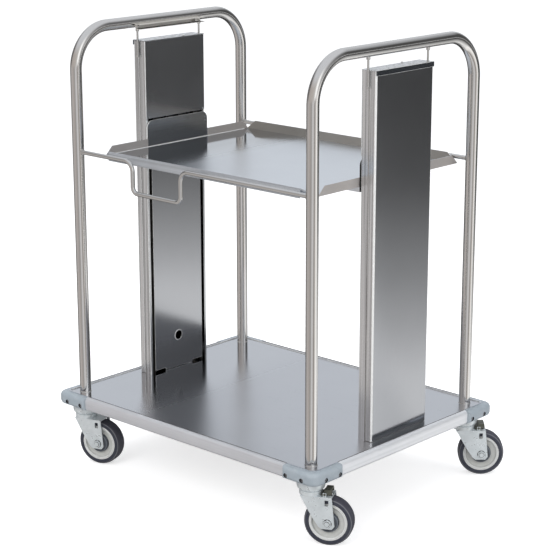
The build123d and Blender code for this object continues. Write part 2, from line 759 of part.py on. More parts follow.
def write_lift():
    """Both columns with their carriages, the ties above them and the tray."""
    channel_front, channel_back = both_sides_of_lift(column_channel())
    column = {"channel_front": channel_front, "channel_back": channel_back, "cover": column_cover(),
              "inner_panel": inner_panel(), "access_panel": access_panel(), "cap": column_cap(),
              "springs": springs(), "carriage": carriage(), "rollers_upper": rollers(roller_z["upper"]),
              "rollers_lower": rollers(roller_z["lower"])}
    for name, piece in column.items():
        group = list(piece) if isinstance(piece, (list, tuple)) else [piece]
        write(f"{name}_right", group)
        write(f"{name}_left", [across_cart(each) for each in group])
    anchor = spring_anchor()
    write("spring_anchors", [anchor, across_cart(anchor)])
    ties = both_sides_of_lift(tie_rod())
    write("tie_rods", [*ties, *(across_cart(tie) for tie in ties)])
    bracket = tie_bracket()
    write("tie_brackets", [bracket, across_cart(bracket)])
    write("tray", tray())


os.makedirs("parts", exist_ok=True)
write_casters()
write_deck()
write_frame()
write_lift()
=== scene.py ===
"""The looks of a rack dispenser cart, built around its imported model, in metres."""

import json
import logging
import math
from dataclasses import dataclass, field
from enum import Enum
from typing import Callable, Iterable, Sequence

import bmesh
import bpy
from mathutils import Matrix, Vector


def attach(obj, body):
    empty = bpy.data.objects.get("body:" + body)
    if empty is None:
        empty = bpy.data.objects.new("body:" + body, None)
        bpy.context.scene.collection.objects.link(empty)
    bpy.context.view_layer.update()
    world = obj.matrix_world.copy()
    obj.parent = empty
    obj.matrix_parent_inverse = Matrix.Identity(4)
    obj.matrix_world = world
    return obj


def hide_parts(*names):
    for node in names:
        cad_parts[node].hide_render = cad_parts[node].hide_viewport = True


log = logging.getLogger("rack_dispenser_cart")

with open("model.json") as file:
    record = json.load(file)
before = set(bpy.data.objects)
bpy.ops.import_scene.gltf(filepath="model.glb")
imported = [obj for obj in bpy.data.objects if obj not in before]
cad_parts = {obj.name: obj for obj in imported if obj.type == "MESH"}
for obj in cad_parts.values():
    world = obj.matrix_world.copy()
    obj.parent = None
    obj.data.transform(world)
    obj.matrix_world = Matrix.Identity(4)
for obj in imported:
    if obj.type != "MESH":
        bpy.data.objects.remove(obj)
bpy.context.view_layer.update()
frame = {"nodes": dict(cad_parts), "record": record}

Point = tuple[float, float, float]
Colour = tuple[float, float, float]
Rule = tuple[str, Callable[[Vector, Vector], bool]]

MM = 0.001
WHITE = (1.0, 1.0, 1.0)
UP = Vector((0.0, 0.0, 1.0))
MERGE = 0.004 * MM  # corners closer than this are one
FLAT = 0.6  # faces that turn by less than this, in degrees, are one
SQUARE = 0.9  # a face lies square to an axis from this share of its normal up
MIDDLE = (0.3, 0.7)  # most of a noise pattern lies in this range
SCRATCH_SHARE = 0.7  # how much of a steel's pattern is scratches
CLOUD_SHARE = 0.3  # and how much is clouding
HEADINGS = {"front_left": 19.0, "front_right": 28.5, "back_right": 42.0, "back_left": 28.0}
CENTRE_X = -0.019
CENTRE_Y = -0.0135
LEG_X = 0.342
LEG_Y = 0.258
LIFT_Y = 0.013
SIDES = {"left": -1, "right": 1}
CORNERS = {"front_left": (-1, -1), "front_right": (1, -1), "back_right": (1, 1), "back_left": (-1, 1)}
BRAKED = ("front_right", "back_right")


def place(x: float, y: float, z: float) -> Vector:
    """A point given about the middle of the deck, in the cart's own frame."""
    return Vector((x + CENTRE_X, y + CENTRE_Y, z))


class Grain(Enum):
    """The way that a sheet or a tube was polished, as the stretch of its scratches on X, Y and Z."""

    ALONG_X = (1.0, 42.0, 42.0)
    ALONG_Y = (42.0, 1.0, 42.0)
    ALONG_Z = (42.0, 42.0, 1.0)
    NONE = (12.0, 12.0, 12.0)


class Tree:
    """A node tree that is built call by call."""

    def __init__(self, tree: bpy.types.NodeTree) -> None:
        """Takes up a tree."""
        self.tree = tree

    def feed(self, socket: bpy.types.NodeSocket, value: object) -> None:
        """Links an output to an input, or sets the input.

        Args:
            socket: The input.
            value: An output, or a value, which is three numbers for a colour.
        """
        if isinstance(value, bpy.types.NodeSocket):
            self.tree.links.new(value, socket)
        else:
            socket.default_value = (*value, 1.0) if socket.type == "RGBA" else value

    def add(self, kind: str, settings: dict[str, object] | None = None,
            **inputs: object) -> bpy.types.Node:
        """Adds a node.

        Args:
            kind: The node's type.
            settings: Its properties.
            inputs: Values or outputs for its inputs, with underscores for spaces.

        Returns:
            The new node.
        """
        node = self.tree.nodes.new(kind)
        for name, value in (settings or {}).items():
            setattr(node, name, value)
        for name, value in inputs.items():
            label = name.replace("_", " ")
            self.feed(next(s for s in node.inputs if s.name == label and s.enabled), value)
        return node

    def maths(self, operation: str, *sources: object) -> bpy.types.NodeSocket:
        """Adds one sum.

        Args:
            operation: The name of the operation.
            sources: Numbers or outputs.

        Returns:
            The result.
        """
        node = self.add("ShaderNodeMath", {"operation": operation})
        for socket, source in zip(node.inputs, sources):
            self.feed(socket, source)
        return node.outputs["Value"]

    def range(self, source: bpy.types.NodeSocket, low: float, high: float, to_low: float = 0.0,
              to_high: float = 1.0) -> bpy.types.NodeSocket:
        """Maps one range of a value on to another.

        Args:
            source: The value.
            low: Start of the range that is read.
            high: End of the range that is read.
            to_low: Result at its start.
            to_high: Result at its end.

        Returns:
            The mapped value.
        """
        node = self.add("ShaderNodeMapRange", Value=source, From_Min=low, From_Max=high, To_Min=to_low,
                        To_Max=to_high)
        return node.outputs["Result"]

    def blend(self, factor: bpy.types.NodeSocket, first: object, second: object) -> bpy.types.NodeSocket:
        """Mixes two colours.

        Args:
            factor: Share of the second colour.
            first: A colour or a colour output.
            second: A colour or a colour output.

        Returns:
            The mixed colour.
        """
        node = self.add("ShaderNodeMix", {"data_type": "RGBA"})
        self.feed(node.inputs[0], factor)
        colours = [socket for socket in node.inputs if socket.type == "RGBA"]
        for socket, colour in zip(colours, (first, second)):
            self.feed(socket, colour)
        return next(socket for socket in node.outputs if socket.type == "RGBA")

    def axes(self, spot: bpy.types.NodeSocket) -> bpy.types.NodeOutputs:
        """The X, Y and Z outputs of a place or a direction."""
        return self.add("ShaderNodeSeparateXYZ", Vector=spot).outputs


class Shader(Tree):
    """Builds one procedural material around a single surface shader."""

    def __init__(self, name: str) -> None:
        """Starts an empty material.

        Args:
            name: The material's name.
        """
        self.material = bpy.data.materials.new(name)
        self.material.use_nodes = True
        super().__init__(self.material.node_tree)
        self.surface = self.tree.nodes["Principled BSDF"]
        self.coordinates = self.add("ShaderNodeTexCoord").outputs["Object"]

    def join(self, source: object, name: str) -> None:
        """Gives a pattern or a number to a named input of the surface shader."""
        self.feed(self.surface.inputs[name], source)

    def noise(self, scale: float, stretch: Sequence[float] = (1.0, 1.0, 1.0), detail: float = 4.0,
              roughness: float = 0.55, distortion: float = 0.0) -> bpy.types.NodeSocket:
        """Adds a noise pattern.

        Args:
            scale: Pattern repeats in one metre.
            stretch: Multiplier of the scale on each axis.
            detail: Octaves.
            roughness: Weight of the finer octaves.
            distortion: How far the pattern is pushed about by itself.

        Returns:
            The pattern's factor output.
        """
        spot = self.add("ShaderNodeMapping", Vector=self.coordinates, Scale=tuple(stretch)).outputs["Vector"]
        noise = self.add("ShaderNodeTexNoise", Vector=spot, Scale=scale, Detail=detail, Roughness=roughness,
                         Distortion=distortion)
        return noise.outputs["Fac"]

    def across(self, start: float, end: float, first: float, last: float) -> bpy.types.NodeSocket:
        """A value that passes from one number to another between two places on X, in metres."""
        return self.range(self.axes(self.coordinates)["X"], start, end, first, last)

    def relief(self, *layers: tuple[bpy.types.NodeSocket, float, float]) -> None:
        """Stacks bump layers under the surface.

        Args:
            layers: Each a pattern, a strength from 0 to 1 and a depth in metres.
        """
        below = {}
        for pattern, strength, depth in layers:
            bump = self.add("ShaderNodeBump", Strength=strength, Distance=depth, Height=pattern, **below)
            below = {"Normal": bump.outputs["Normal"]}
        self.join(below["Normal"], "Normal")


def dimmed(colour: Colour, share: float) -> Colour:
    """A colour at a share of its brightness."""
    return tuple(share * channel for channel in colour)


@dataclass(frozen=True)
class Steel:
    """Polished or brushed stainless steel with fine scratches, clouding and a slight wave.

    A polished end gives where on X it stops and where the plain finish starts, the share of the roughness
    that is left there, and how far the colour darkens there as a painted reflection.
    """

    name: str
    dark: Colour
    light: Colour
    gloss: tuple[float, float]
    grain: Grain = Grain.NONE
    fineness: float = 26.0
    scratch_depth: float = 0.00002
    wave_depth: float = 0.0
    wave_scale: float = 5.0
    metal: float = 1.0
    painted_streaks: float = 0.0
    painted_streaks_per_metre: float = 150.0
    polished_end_and_painted_reflection: tuple[float, float, float, float] | None = None

    def colour(self, shader: Shader, scratches: bpy.types.NodeSocket,
               clouds: bpy.types.NodeSocket) -> bpy.types.NodeSocket:
        """Mixes the steel's tones, darkens them toward a polished end as a painted reflection, and adds
        painted reflection streaks along the grain if it has them.

        Args:
            shader: The material that is being built.
            scratches: The scratch pattern.
            clouds: The clouding.

        Returns:
            The colour.
        """
        tone = shader.maths("MULTIPLY", scratches, SCRATCH_SHARE)
        mixed = shader.maths("ADD", tone, shader.range(clouds, *MIDDLE, 0.0, CLOUD_SHARE))
        colour = shader.blend(mixed, self.dark, self.light)
        if self.polished_end_and_painted_reflection:
            start, end, _, depth = self.polished_end_and_painted_reflection
            # Painted reflection: the colour darkens toward the polished end.
            colour = shader.blend(shader.across(start, end, depth, 0.0), colour, dimmed(self.dark, 0.5))
        if not self.painted_streaks:
            return colour
        # Painted reflection: soft darker streaks along the grain.
        stretch = [1.0 if share > 1.0 else 0.01 for share in self.grain.value]
        strips = shader.noise(self.painted_streaks_per_metre, stretch, detail=2.0)
        return shader.blend(shader.range(strips, 0.4, 0.6, 0.0, self.painted_streaks), colour, dimmed(self.dark, 0.35))

    def material(self) -> bpy.types.Material:
        """Builds the material.

        Returns:
            The new material.
        """
        shader = Shader(self.name)
        scratches = shader.noise(self.fineness, self.grain.value, detail=5.0, roughness=0.7)
        clouds = shader.noise(9.0, detail=3.0)
        shader.join(self.metal, "Metallic")
        shader.join(self.colour(shader, scratches, clouds), "Base Color")
        worn = shader.maths("ADD", shader.range(scratches, *MIDDLE, 0.0, SCRATCH_SHARE),
                            shader.range(clouds, *MIDDLE, 0.0, CLOUD_SHARE))
        roughness = shader.range(worn, 0.0, 1.0, *self.gloss)
        if self.polished_end_and_painted_reflection:
            start, end, share, _ = self.polished_end_and_painted_reflection
            roughness = shader.maths("MULTIPLY", roughness, shader.across(start, end, share, 1.0))
        shader.join(roughness, "Roughness")
        layers = [(scratches, 1.0, self.scratch_depth)]
        if self.wave_depth:
            layers.append((shader.noise(self.wave_scale, detail=1.0), 1.0, self.wave_depth))
        shader.relief(*layers)
        return shader.material


@dataclass(frozen=True)
class Plated:
    """Zinc plating: pale, softly mottled and a little dull."""

    name: str
    dark: Colour
    light: Colour
    gloss: tuple[float, float] = (0.28, 0.5)
    metal: float = 0.4

    def material(self) -> bpy.types.Material:
        """Builds the material.

        Returns:
            The new material.
        """
        shader = Shader(self.name)
        spangle = shader.noise(110.0, detail=2.0, distortion=0.3)
        stains = shader.noise(34.0, detail=4.0, roughness=0.7)
        shader.join(self.metal, "Metallic")
        colour = shader.blend(shader.range(stains, 0.35, 0.7, 0.0, 1.0), self.light, self.dark)
        shader.join(shader.blend(shader.range(spangle, 0.4, 0.8, 0.0, 0.25), colour, self.dark), "Base Color")
        shader.join(shader.range(spangle, *MIDDLE, *self.gloss), "Roughness")
        shader.relief((spangle, 0.3, 0.000003))
        return shader.material


@dataclass(frozen=True)
class Moulded:
    """A moulded plastic or rubber with flow marks, dust and a fine skin."""

    name: str
    colour: Colour
    worn: Colour
    gloss: tuple[float, float] = (0.4, 0.6)
    wear: float = 0.5
    skin_depth: float = 0.00006

    def material(self) -> bpy.types.Material:
        """Builds the material.

        Returns:
            The new material.
        """
        shader = Shader(self.name)
        blotches = shader.noise(45.0, detail=6.0, roughness=0.75)
        skin = shader.noise(900.0, detail=2.0)
        dust = shader.range(blotches, 0.45, 0.75, 0.0, self.wear)
        shader.join(shader.blend(dust, self.colour, self.worn), "Base Color")
        shader.join(shader.range(blotches, *MIDDLE, *self.gloss), "Roughness")
        shader.relief((skin, 0.4, self.skin_depth), (blotches, 0.2, self.skin_depth * 2))
        return shader.material


class Materials:
    """Every finish on the cart, made once each."""

    finishes = {
        "tube": Steel("bright_tube", (0.68, 0.67, 0.65), (0.80, 0.79, 0.78), (0.10, 0.18), Grain.ALONG_Z,
                      30.0, 0.000003),
        "tube_level": Steel("bright_tube_level", (0.68, 0.67, 0.65), (0.80, 0.79, 0.78), (0.10, 0.18),
                            Grain.ALONG_Y, 30.0, 0.000003),
        "weld": Steel("weld_steel", (0.60, 0.59, 0.57), (0.74, 0.73, 0.71), (0.16, 0.26)),
        # Painted highlight: near-white steel laid on bends, cut edges, rims and fold lines so that they read
        # as lit.
        "edge": Steel("bright_edge", (0.86, 0.87, 0.86), (0.94, 0.95, 0.94), (0.3, 0.4), metal=0.25),
        "carriage": Steel("carriage_steel", (0.36, 0.38, 0.40), (0.46, 0.48, 0.50), (0.12, 0.2),
                          Grain.ALONG_Y, 26.0, 0.000004),
        "wire": Steel("bright_wire", (0.62, 0.62, 0.61), (0.78, 0.78, 0.77), (0.12, 0.2), Grain.ALONG_X,
                      40.0, 0.000006),
        "bracket": Steel("bracket_steel", (0.66, 0.64, 0.60), (0.78, 0.76, 0.72), (0.3, 0.42), metal=0.5),
        # Painted reflection: the tray's colour darkens toward its polished left end.
        "tray": Steel("mirror_tray", (0.80, 0.84, 0.89), (0.88, 0.92, 0.96), (0.34, 0.37), Grain.ALONG_X,
                      14.0, 0.000001, 0.0004, 2.2, polished_end_and_painted_reflection=(-0.22, -0.12, 0.22, 0.6)),
        # Painted reflections: the tray's side flanges, back flange and rolled front edge are the tray's own
        # steel, each given its own tone for what it reflects, with painted streaks on the roll.
        "tray_flange": Steel("tray_flange", (0.52, 0.49, 0.47), (0.60, 0.57, 0.55), (0.3, 0.42), metal=0.55),
        "tray_back": Steel("tray_back", (0.34, 0.32, 0.29), (0.44, 0.42, 0.39), (0.3, 0.42), Grain.ALONG_X,
                           metal=0.6),
        "tray_roll": Steel("tray_roll", (0.50, 0.53, 0.57), (0.66, 0.69, 0.73), (0.3, 0.42), Grain.ALONG_X,
                           metal=0.6, painted_streaks=0.3),
        "deck": Steel("mirror_deck", (0.62, 0.64, 0.68), (0.68, 0.70, 0.74), (0.27, 0.30), Grain.ALONG_X,
                      16.0, 0.000001, 0.0010, 2.6, polished_end_and_painted_reflection=(-0.26, -0.14, 0.4, 0.0)),
        "panel": Steel("column_panel", (0.47, 0.48, 0.50), (0.53, 0.54, 0.56), (0.12, 0.17), Grain.ALONG_Z,
                       18.0, 0.0000006, 0.0005, 1.8),
        # Painted reflection: the channel's darker streaks along its grain.
        "channel": Steel("column_channel", (0.82, 0.84, 0.86), (0.92, 0.93, 0.94), (0.2, 0.3), Grain.ALONG_Z,
                         24.0, 0.000004, painted_streaks=0.55),
        # Painted shade: the cap's steel is painted dark on its lip; its top takes the lighter channel steel.
        "cap_lip": Steel("cap_lip", (0.19, 0.21, 0.24), (0.25, 0.27, 0.30), (0.16, 0.24), Grain.ALONG_Y, 24.0,
                         0.000004),
        # Painted shade: the channel faces behind the cover's seam are darkened so that the seam reads as a
        # dark gap.
        "seam": Steel("seam_steel", (0.42, 0.40, 0.38), (0.50, 0.48, 0.46), (0.3, 0.4)),
        # The side rails are a lighter copy of the rail steel: painted light. The streaks on both are painted
        # reflections.
        "rail": Steel("edge_rail", (0.58, 0.59, 0.62), (0.76, 0.77, 0.80), (0.4, 0.55), Grain.ALONG_X, 20.0,
                      0.000012, metal=0.5, painted_streaks=0.12),
        "rail_side": Steel("edge_rail_side", (0.78, 0.80, 0.83), (0.95, 0.96, 0.98), (0.4, 0.55),
                           Grain.ALONG_Y, 20.0, 0.000012, metal=0.5, painted_streaks=0.12),
        "dark_steel": Steel("underside_steel", (0.30, 0.30, 0.31), (0.46, 0.46, 0.47), (0.35, 0.5)),
        "spring": Steel("spring_steel", (0.22, 0.22, 0.23), (0.36, 0.36, 0.37), (0.3, 0.45)),
        "screw": Steel("screw_steel", (0.20, 0.21, 0.23), (0.42, 0.43, 0.45), (0.3, 0.45)),
        "zinc": Plated("zinc_plate", (0.62, 0.67, 0.69), (0.74, 0.79, 0.81), (0.26, 0.36)),
        "pedal": Plated("pedal_plate", (0.07, 0.075, 0.06), (0.16, 0.16, 0.13)),
        "bumper": Moulded("bumper_plastic", (0.33, 0.38, 0.42), (0.45, 0.49, 0.52), (0.35, 0.5), 0.6),
        # Painted shade: near-black put in the recesses round the bumper screws.
        "recess": Moulded("bumper_recess", (0.012, 0.012, 0.014), (0.03, 0.03, 0.032)),
        "tyre": Moulded("tyre_rubber", (0.030, 0.034, 0.052), (0.085, 0.088, 0.10), (0.42, 0.6), 0.45),
        "tread": Moulded("tyre_tread", (0.045, 0.045, 0.062), (0.10, 0.10, 0.12), (0.5, 0.7)),
        # Painted highlight: a lighter ring of the tyre's rubber along each shoulder.
        "tyre_edge": Moulded("tyre_shoulder", (0.13, 0.135, 0.15), (0.20, 0.20, 0.21), (0.4, 0.55)),
        "core": Moulded("wheel_core", (0.56, 0.57, 0.55), (0.46, 0.47, 0.45), (0.35, 0.5), 0.6),
        # Painted highlight: the raised rim rings of the wheel's core are a lighter copy of its plastic.
        "rim": Moulded("wheel_rim", (0.68, 0.69, 0.68), (0.56, 0.57, 0.56), (0.35, 0.5), 0.6),
        "hub": Moulded("hub_cap", (0.045, 0.052, 0.065), (0.09, 0.10, 0.115), (0.3, 0.45), 0.5),
        "hub_ring": Moulded("hub_ring", (0.12, 0.14, 0.16), (0.18, 0.20, 0.22), (0.3, 0.45), 0.5),
        # Painted shade: near-black put where shade falls, inside the columns, in the bracket grooves, along
        # the hem seams, round the axles and on the right carriage's rim.
        "inside": Moulded("dark_inside", (0.020, 0.018, 0.016), (0.040, 0.036, 0.032), (0.6, 0.8)),
        "roller": Moulded("roller_plastic", (0.55, 0.55, 0.52), (0.42, 0.42, 0.40)),
    }

    def __init__(self) -> None:
        """Builds each material."""
        self.made = {key: finish.material() for key, finish in self.finishes.items()}

    def __getitem__(self, key: str) -> bpy.types.Material:
        """The material of one finish."""
        return self.made[key]


def body_of(node: str) -> str:
    """The name of the body that a CAD node belongs to."""
    bodies = frame["record"]["behaviour"]["bodies"]
    return next(body for body, nodes in bodies.items() if node in nodes)


def stand_for(piece: bpy.types.Object, *nodes: str) -> bpy.types.Object:
    """Lets a finished piece take the place of CAD nodes of one body.

    Args:
        piece: The finished piece, at the origin.
        nodes: The CAD nodes that it stands for.

    Returns:
        The same piece.
    """
    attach(piece, body_of(nodes[0]))
    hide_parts(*nodes)
    return piece


def add_to(piece: bpy.types.Object, node: str) -> bpy.types.Object:
    """Lets an extra piece move with a CAD node, without hiding it."""
    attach(piece, body_of(node))
    return piece


def object_from(name: str, mesh: bpy.types.Mesh,
                material: bpy.types.Material | None = None) -> bpy.types.Object:
    """Links a mesh to the scene as an object at the origin.

    Args:
        name: The object's name.
        mesh: Its mesh.
        material: Its only material, if it has none yet.

    Returns:
        The new object.
    """
    if material is not None:
        mesh.materials.clear()
        mesh.materials.append(material)
    piece = bpy.data.objects.new(name, mesh)
    bpy.context.scene.collection.objects.link(piece)
    return piece


def plain_mesh(name: str, mesh: bmesh.types.BMesh, sharp: float | None = None) -> bpy.types.Mesh:
    """Turns a working mesh, which is used up, into a plain one.

    Args:
        name: The mesh's name.
        mesh: The working mesh.
        sharp: If given, it is shaded smooth but for edges that turn further, in degrees.

    Returns:
        The plain mesh.
    """
    data = bpy.data.meshes.new(name)
    mesh.to_mesh(data)
    mesh.free()
    if "custom_normal" in data.attributes:
        data.attributes.remove(data.attributes["custom_normal"])
    if sharp is not None:
        for face in data.polygons:
            face.use_smooth = True
        data.set_sharp_from_angle(angle=math.radians(sharp))
    return data


def applied(piece: bpy.types.Object) -> bpy.types.Object:
    """Turns an object's modifiers into plain mesh, in place.

    Args:
        piece: The object with its modifiers.

    Returns:
        The same object, without modifiers.
    """
    bpy.context.view_layer.update()
    graph = bpy.context.evaluated_depsgraph_get()
    mesh = bpy.data.meshes.new_from_object(piece.evaluated_get(graph), preserve_all_data_layers=True,
                                           depsgraph=graph)
    mesh.name = piece.name
    piece.modifiers.clear()
    old = piece.data
    piece.data = mesh
    bpy.data.meshes.remove(old)
    return piece


def softened(node: str, material: bpy.types.Material, width: float = 0.0004, segments: int = 2,
             angle: float = 28.0) -> bpy.types.Object:
    """Copies a CAD node's shape, joins its faces and rounds its edges as folding and deburring do.

    Args:
        node: The CAD node.
        material: The finish.
        width: How far each edge is rounded, in metres.
        segments: Facets across each rounding.
        angle: The least turn of an edge that is rounded, in degrees.

    Returns:
        The piece that stands for the node.
    """
    mesh = bmesh.new()
    mesh.from_mesh(frame["nodes"][node].data)
    bmesh.ops.remove_doubles(mesh, verts=mesh.verts, dist=MERGE)
    bmesh.ops.dissolve_limit(mesh, angle_limit=math.radians(FLAT), verts=mesh.verts, edges=mesh.edges)
    data = plain_mesh(f"{node}_finished", mesh, angle)
    piece = object_from(f"{node}_finished", data, material)
    bevel = piece.modifiers.new("rounding", "BEVEL")
    bevel.width = width
    bevel.segments = segments
    bevel.limit_method = "ANGLE"
    bevel.angle_limit = math.radians(angle)
    bevel.use_clamp_overlap = True
    bevel.harden_normals = True
    return stand_for(applied(piece), node)


def dressed(piece: bpy.types.Object, materials: Materials, *rules: Rule) -> bpy.types.Object:
    """Gives other finishes to the faces of a piece that pass a test.

    Args:
        piece: The finished piece.
        materials: The finishes.
        rules: Each a finish, and its test of a face's middle, about the middle of the deck, and normal.

    Returns:
        The same piece.
    """
    for finish, passes in rules:
        piece.data.materials.append(materials[finish])
        last = len(piece.data.materials) - 1
        for face in piece.data.polygons:
            if passes(face.center - place(0.0, 0.0, 0.0), face.normal):
                face.material_index = last
    return piece


def slanted(normal: Vector) -> bool:
    """Whether a face is neither square to X nor level with it, as on the rounding of a bend."""
    return 0.25 < abs(normal.x) < 0.95


def rounded_path(corners: Sequence[Vector], radii: Sequence[float], steps: int = 14) -> list[Vector]:
    """A path of straight runs joined by arcs.

    Args:
        corners: The path's ends and corners.
        radii: The bend radius at each inner corner.
        steps: Facets in each bend.

    Returns:
        The points of the path.
    """
    points = [corners[0]]
    for before, corner, after, radius in zip(corners, corners[1:], corners[2:], radii):
        back = (before - corner).normalized()
        ahead = (after - corner).normalized()
        half = back.angle(ahead) / 2
        middle = corner + (back + ahead).normalized() * (radius / math.sin(half))
        start = corner + back * (radius / math.tan(half)) - middle
        end = corner + ahead * (radius / math.tan(half)) - middle
        turn = start.angle(end)
        for step in range(steps + 1):
            part = step / steps
            mixed = (start * math.sin((1 - part) * turn) + end * math.sin(part * turn)) / math.sin(turn)
            points.append(middle + mixed)
    points.append(corners[-1])
    return points


def turned(name: str, profile: Sequence[tuple[float, float]], centre: Vector, axis: Vector,
           material: bpy.types.Material, steps: int = 64, sharp: float = 40.0) -> bpy.types.Object:
    """Turns an outline about an axis, as on a lathe.

    Args:
        name: The object's name.
        profile: Closed outline, as distance from the axis and distance along it.
        centre: Where the axis starts.
        axis: Its direction.
        material: The finish.
        steps: Facets round the axis.
        sharp: Edges that turn further than this stay sharp, in degrees.

    Returns:
        The turned piece.
    """
    turn = UP.rotation_difference(axis.normalized()).to_matrix().to_4x4()
    mesh = bmesh.new()
    rings = []
    angles = [math.tau * step / steps for step in range(steps)]
    for radius, along in profile:
        if radius == 0.0:
            rings.append([mesh.verts.new((0, 0, along))] * steps)
            continue
        rings.append([mesh.verts.new((radius * math.cos(a), radius * math.sin(a), along)) for a in angles])
    for ring, following in zip(rings, rings[1:] + rings[:1]):
        for step in range(steps):
            ahead = (step + 1) % steps
            loop = dict.fromkeys((ring[step], ring[ahead], following[ahead], following[step]))
            if len(loop) > 2:
                mesh.faces.new(tuple(loop))
    bmesh.ops.recalc_face_normals(mesh, faces=mesh.faces)
    mesh.transform(Matrix.Translation(centre) @ turn)
    return object_from(name, plain_mesh(name, mesh, sharp), material)


def joined(name: str, pieces: Iterable[bpy.types.Object]) -> bpy.types.Object:
    """Joins several loose pieces into one object that keeps their materials.

    Args:
        name: The joined object's name.
        pieces: Objects at the origin, which are used up.

    Returns:
        The joined object.
    """
    pieces = list(pieces)
    mesh = bmesh.new()
    materials: list[bpy.types.Material] = []
    for piece in pieces:
        start = len(mesh.faces)
        mesh.from_mesh(piece.data)
        mesh.faces.ensure_lookup_table()
        for face in mesh.faces[start:]:
            material = piece.data.materials[face.material_index]
            if material not in materials:
                materials.append(material)
            face.material_index = materials.index(material)
    data = plain_mesh(name, mesh)
    for material in materials:
        data.materials.append(material)
    whole = object_from(name, data)
    for piece in pieces:
        bpy.data.objects.remove(piece)
    return whole


class Growth(Tree):
    """A Geometry Nodes tree with named inputs, which ends in realized, finished geometry."""

    def __init__(self, name: str, **inputs: tuple[str, object]) -> None:
        """Starts the tree.

        Args:
            name: The tree's name.
            inputs: For each named input, its socket type and default value.
        """
        super().__init__(bpy.data.node_groups.new(name, "GeometryNodeTree"))
        face = self.tree.interface
        face.new_socket("Geometry", in_out="INPUT", socket_type="NodeSocketGeometry")
        face.new_socket("Geometry", in_out="OUTPUT", socket_type="NodeSocketGeometry")
        for label, (kind, default) in inputs.items():
            socket = face.new_socket(label, in_out="INPUT", socket_type=kind)
            if default is not None:
                socket.default_value = default
        face.new_socket("finish", in_out="INPUT", socket_type="NodeSocketMaterial")
        self.start = self.tree.nodes.new("NodeGroupInput").outputs
        self.end = self.tree.nodes.new("NodeGroupOutput").inputs

    def close(self, geometry: bpy.types.NodeSocket) -> None:
        """Ends the tree with smooth shading, realized instances and the finish."""
        real = self.add("GeometryNodeRealizeInstances", Geometry=geometry).outputs[0]
        smooth = self.add("GeometryNodeSetShadeSmooth", Geometry=real).outputs[0]
        last = self.add("GeometryNodeSetMaterial", Geometry=smooth, Material=self.start["finish"]).outputs[0]
        self.feed(self.end["Geometry"], last)

    def grow(self, name: str, mesh: bpy.types.Mesh, finish: bpy.types.Material, sharp: float = 40.0,
             **values: object) -> bpy.types.Object:
        """Runs the tree on a guide mesh and keeps the result as a plain mesh.

        Args:
            name: The new object's name.
            mesh: The guide: a path's edges, or points.
            finish: The material.
            sharp: Edges that turn further than this stay sharp, in degrees.
            values: Values of the named inputs.

        Returns:
            The finished object.
        """
        piece = object_from(name, mesh)
        modifier = piece.modifiers.new("growth", "NODES")
        modifier.node_group = self.tree
        for item in self.tree.interface.items_tree:
            if item.in_out == "INPUT" and item.name in values:
                modifier[item.identifier] = values[item.name]
            if item.in_out == "INPUT" and item.name == "finish":
                modifier[item.identifier] = finish
        applied(piece)
        piece.data.set_sharp_from_angle(angle=math.radians(sharp))
        return piece


def guide(name: str, points: Sequence[Vector], linked: bool = True) -> bpy.types.Mesh:
    """A mesh of points, joined in a row if linked."""
    mesh = bpy.data.meshes.new(name)
    edges = [(i, i + 1) for i in range(len(points) - 1)] if linked else []
    mesh.from_pydata(points, edges, [])
    return mesh


def tube_growth() -> Growth:
    """A round bar along a path, closed at its ends.

    Returns:
        The tree.
    """
    growth = Growth("round_bar", radius=("NodeSocketFloat", 0.01), facets=("NodeSocketInt", 48))
    curve = growth.add("GeometryNodeMeshToCurve", Mesh=growth.start["Geometry"]).outputs[0]
    ring = growth.add("GeometryNodeCurvePrimitiveCircle", {"mode": "RADIUS"}, Radius=growth.start["radius"],
                      Resolution=growth.start["facets"]).outputs[0]
    bar = growth.add("GeometryNodeCurveToMesh", Curve=curve, Profile_Curve=ring, Fill_Caps=True).outputs[0]
    growth.close(bar)
    return growth


def coil_growth() -> Growth:
    """Upright coils of wire, one on each guide point.

    Returns:
        The tree.
    """
    growth = Growth("coil", radius=("NodeSocketFloat", 0.009), wire=("NodeSocketFloat", 0.001),
                    turns=("NodeSocketFloat", 40.0), height=("NodeSocketFloat", 0.2))
    start = growth.start
    spiral = growth.add("GeometryNodeCurveSpiral", Resolution=18, Rotations=start["turns"],
                        Start_Radius=start["radius"], End_Radius=start["radius"], Height=start["height"])
    ring = growth.add("GeometryNodeCurvePrimitiveCircle", {"mode": "RADIUS"}, Radius=start["wire"],
                      Resolution=6)
    wire = growth.add("GeometryNodeCurveToMesh", Curve=spiral.outputs[0], Profile_Curve=ring.outputs[0],
                      Fill_Caps=True)
    growth.close(growth.add("GeometryNodeInstanceOnPoints", Points=start["Geometry"],
                            Instance=wire.outputs[0]).outputs[0])
    return growth


def bead_growth() -> Growth:
    """A weld bead: overlapping drops of random size evenly along a path.

    Returns:
        The tree.
    """
    growth = Growth("weld_bead", radius=("NodeSocketFloat", 0.002), drops=("NodeSocketInt", 40))
    curve = growth.add("GeometryNodeMeshToCurve", Mesh=growth.start["Geometry"]).outputs[0]
    points = growth.add("GeometryNodeCurveToPoints", {"mode": "COUNT"}, Curve=curve,
                        Count=growth.start["drops"])
    drop = growth.add("GeometryNodeMeshIcoSphere", Radius=growth.start["radius"], Subdivisions=3).outputs[0]
    size = growth.add("FunctionNodeRandomValue", {"data_type": "FLOAT"}, Min=0.85, Max=1.1, Seed=7).outputs[1]
    growth.close(growth.add("GeometryNodeInstanceOnPoints", Points=points.outputs[0], Instance=drop,
                            Scale=size).outputs[0])
    return growth


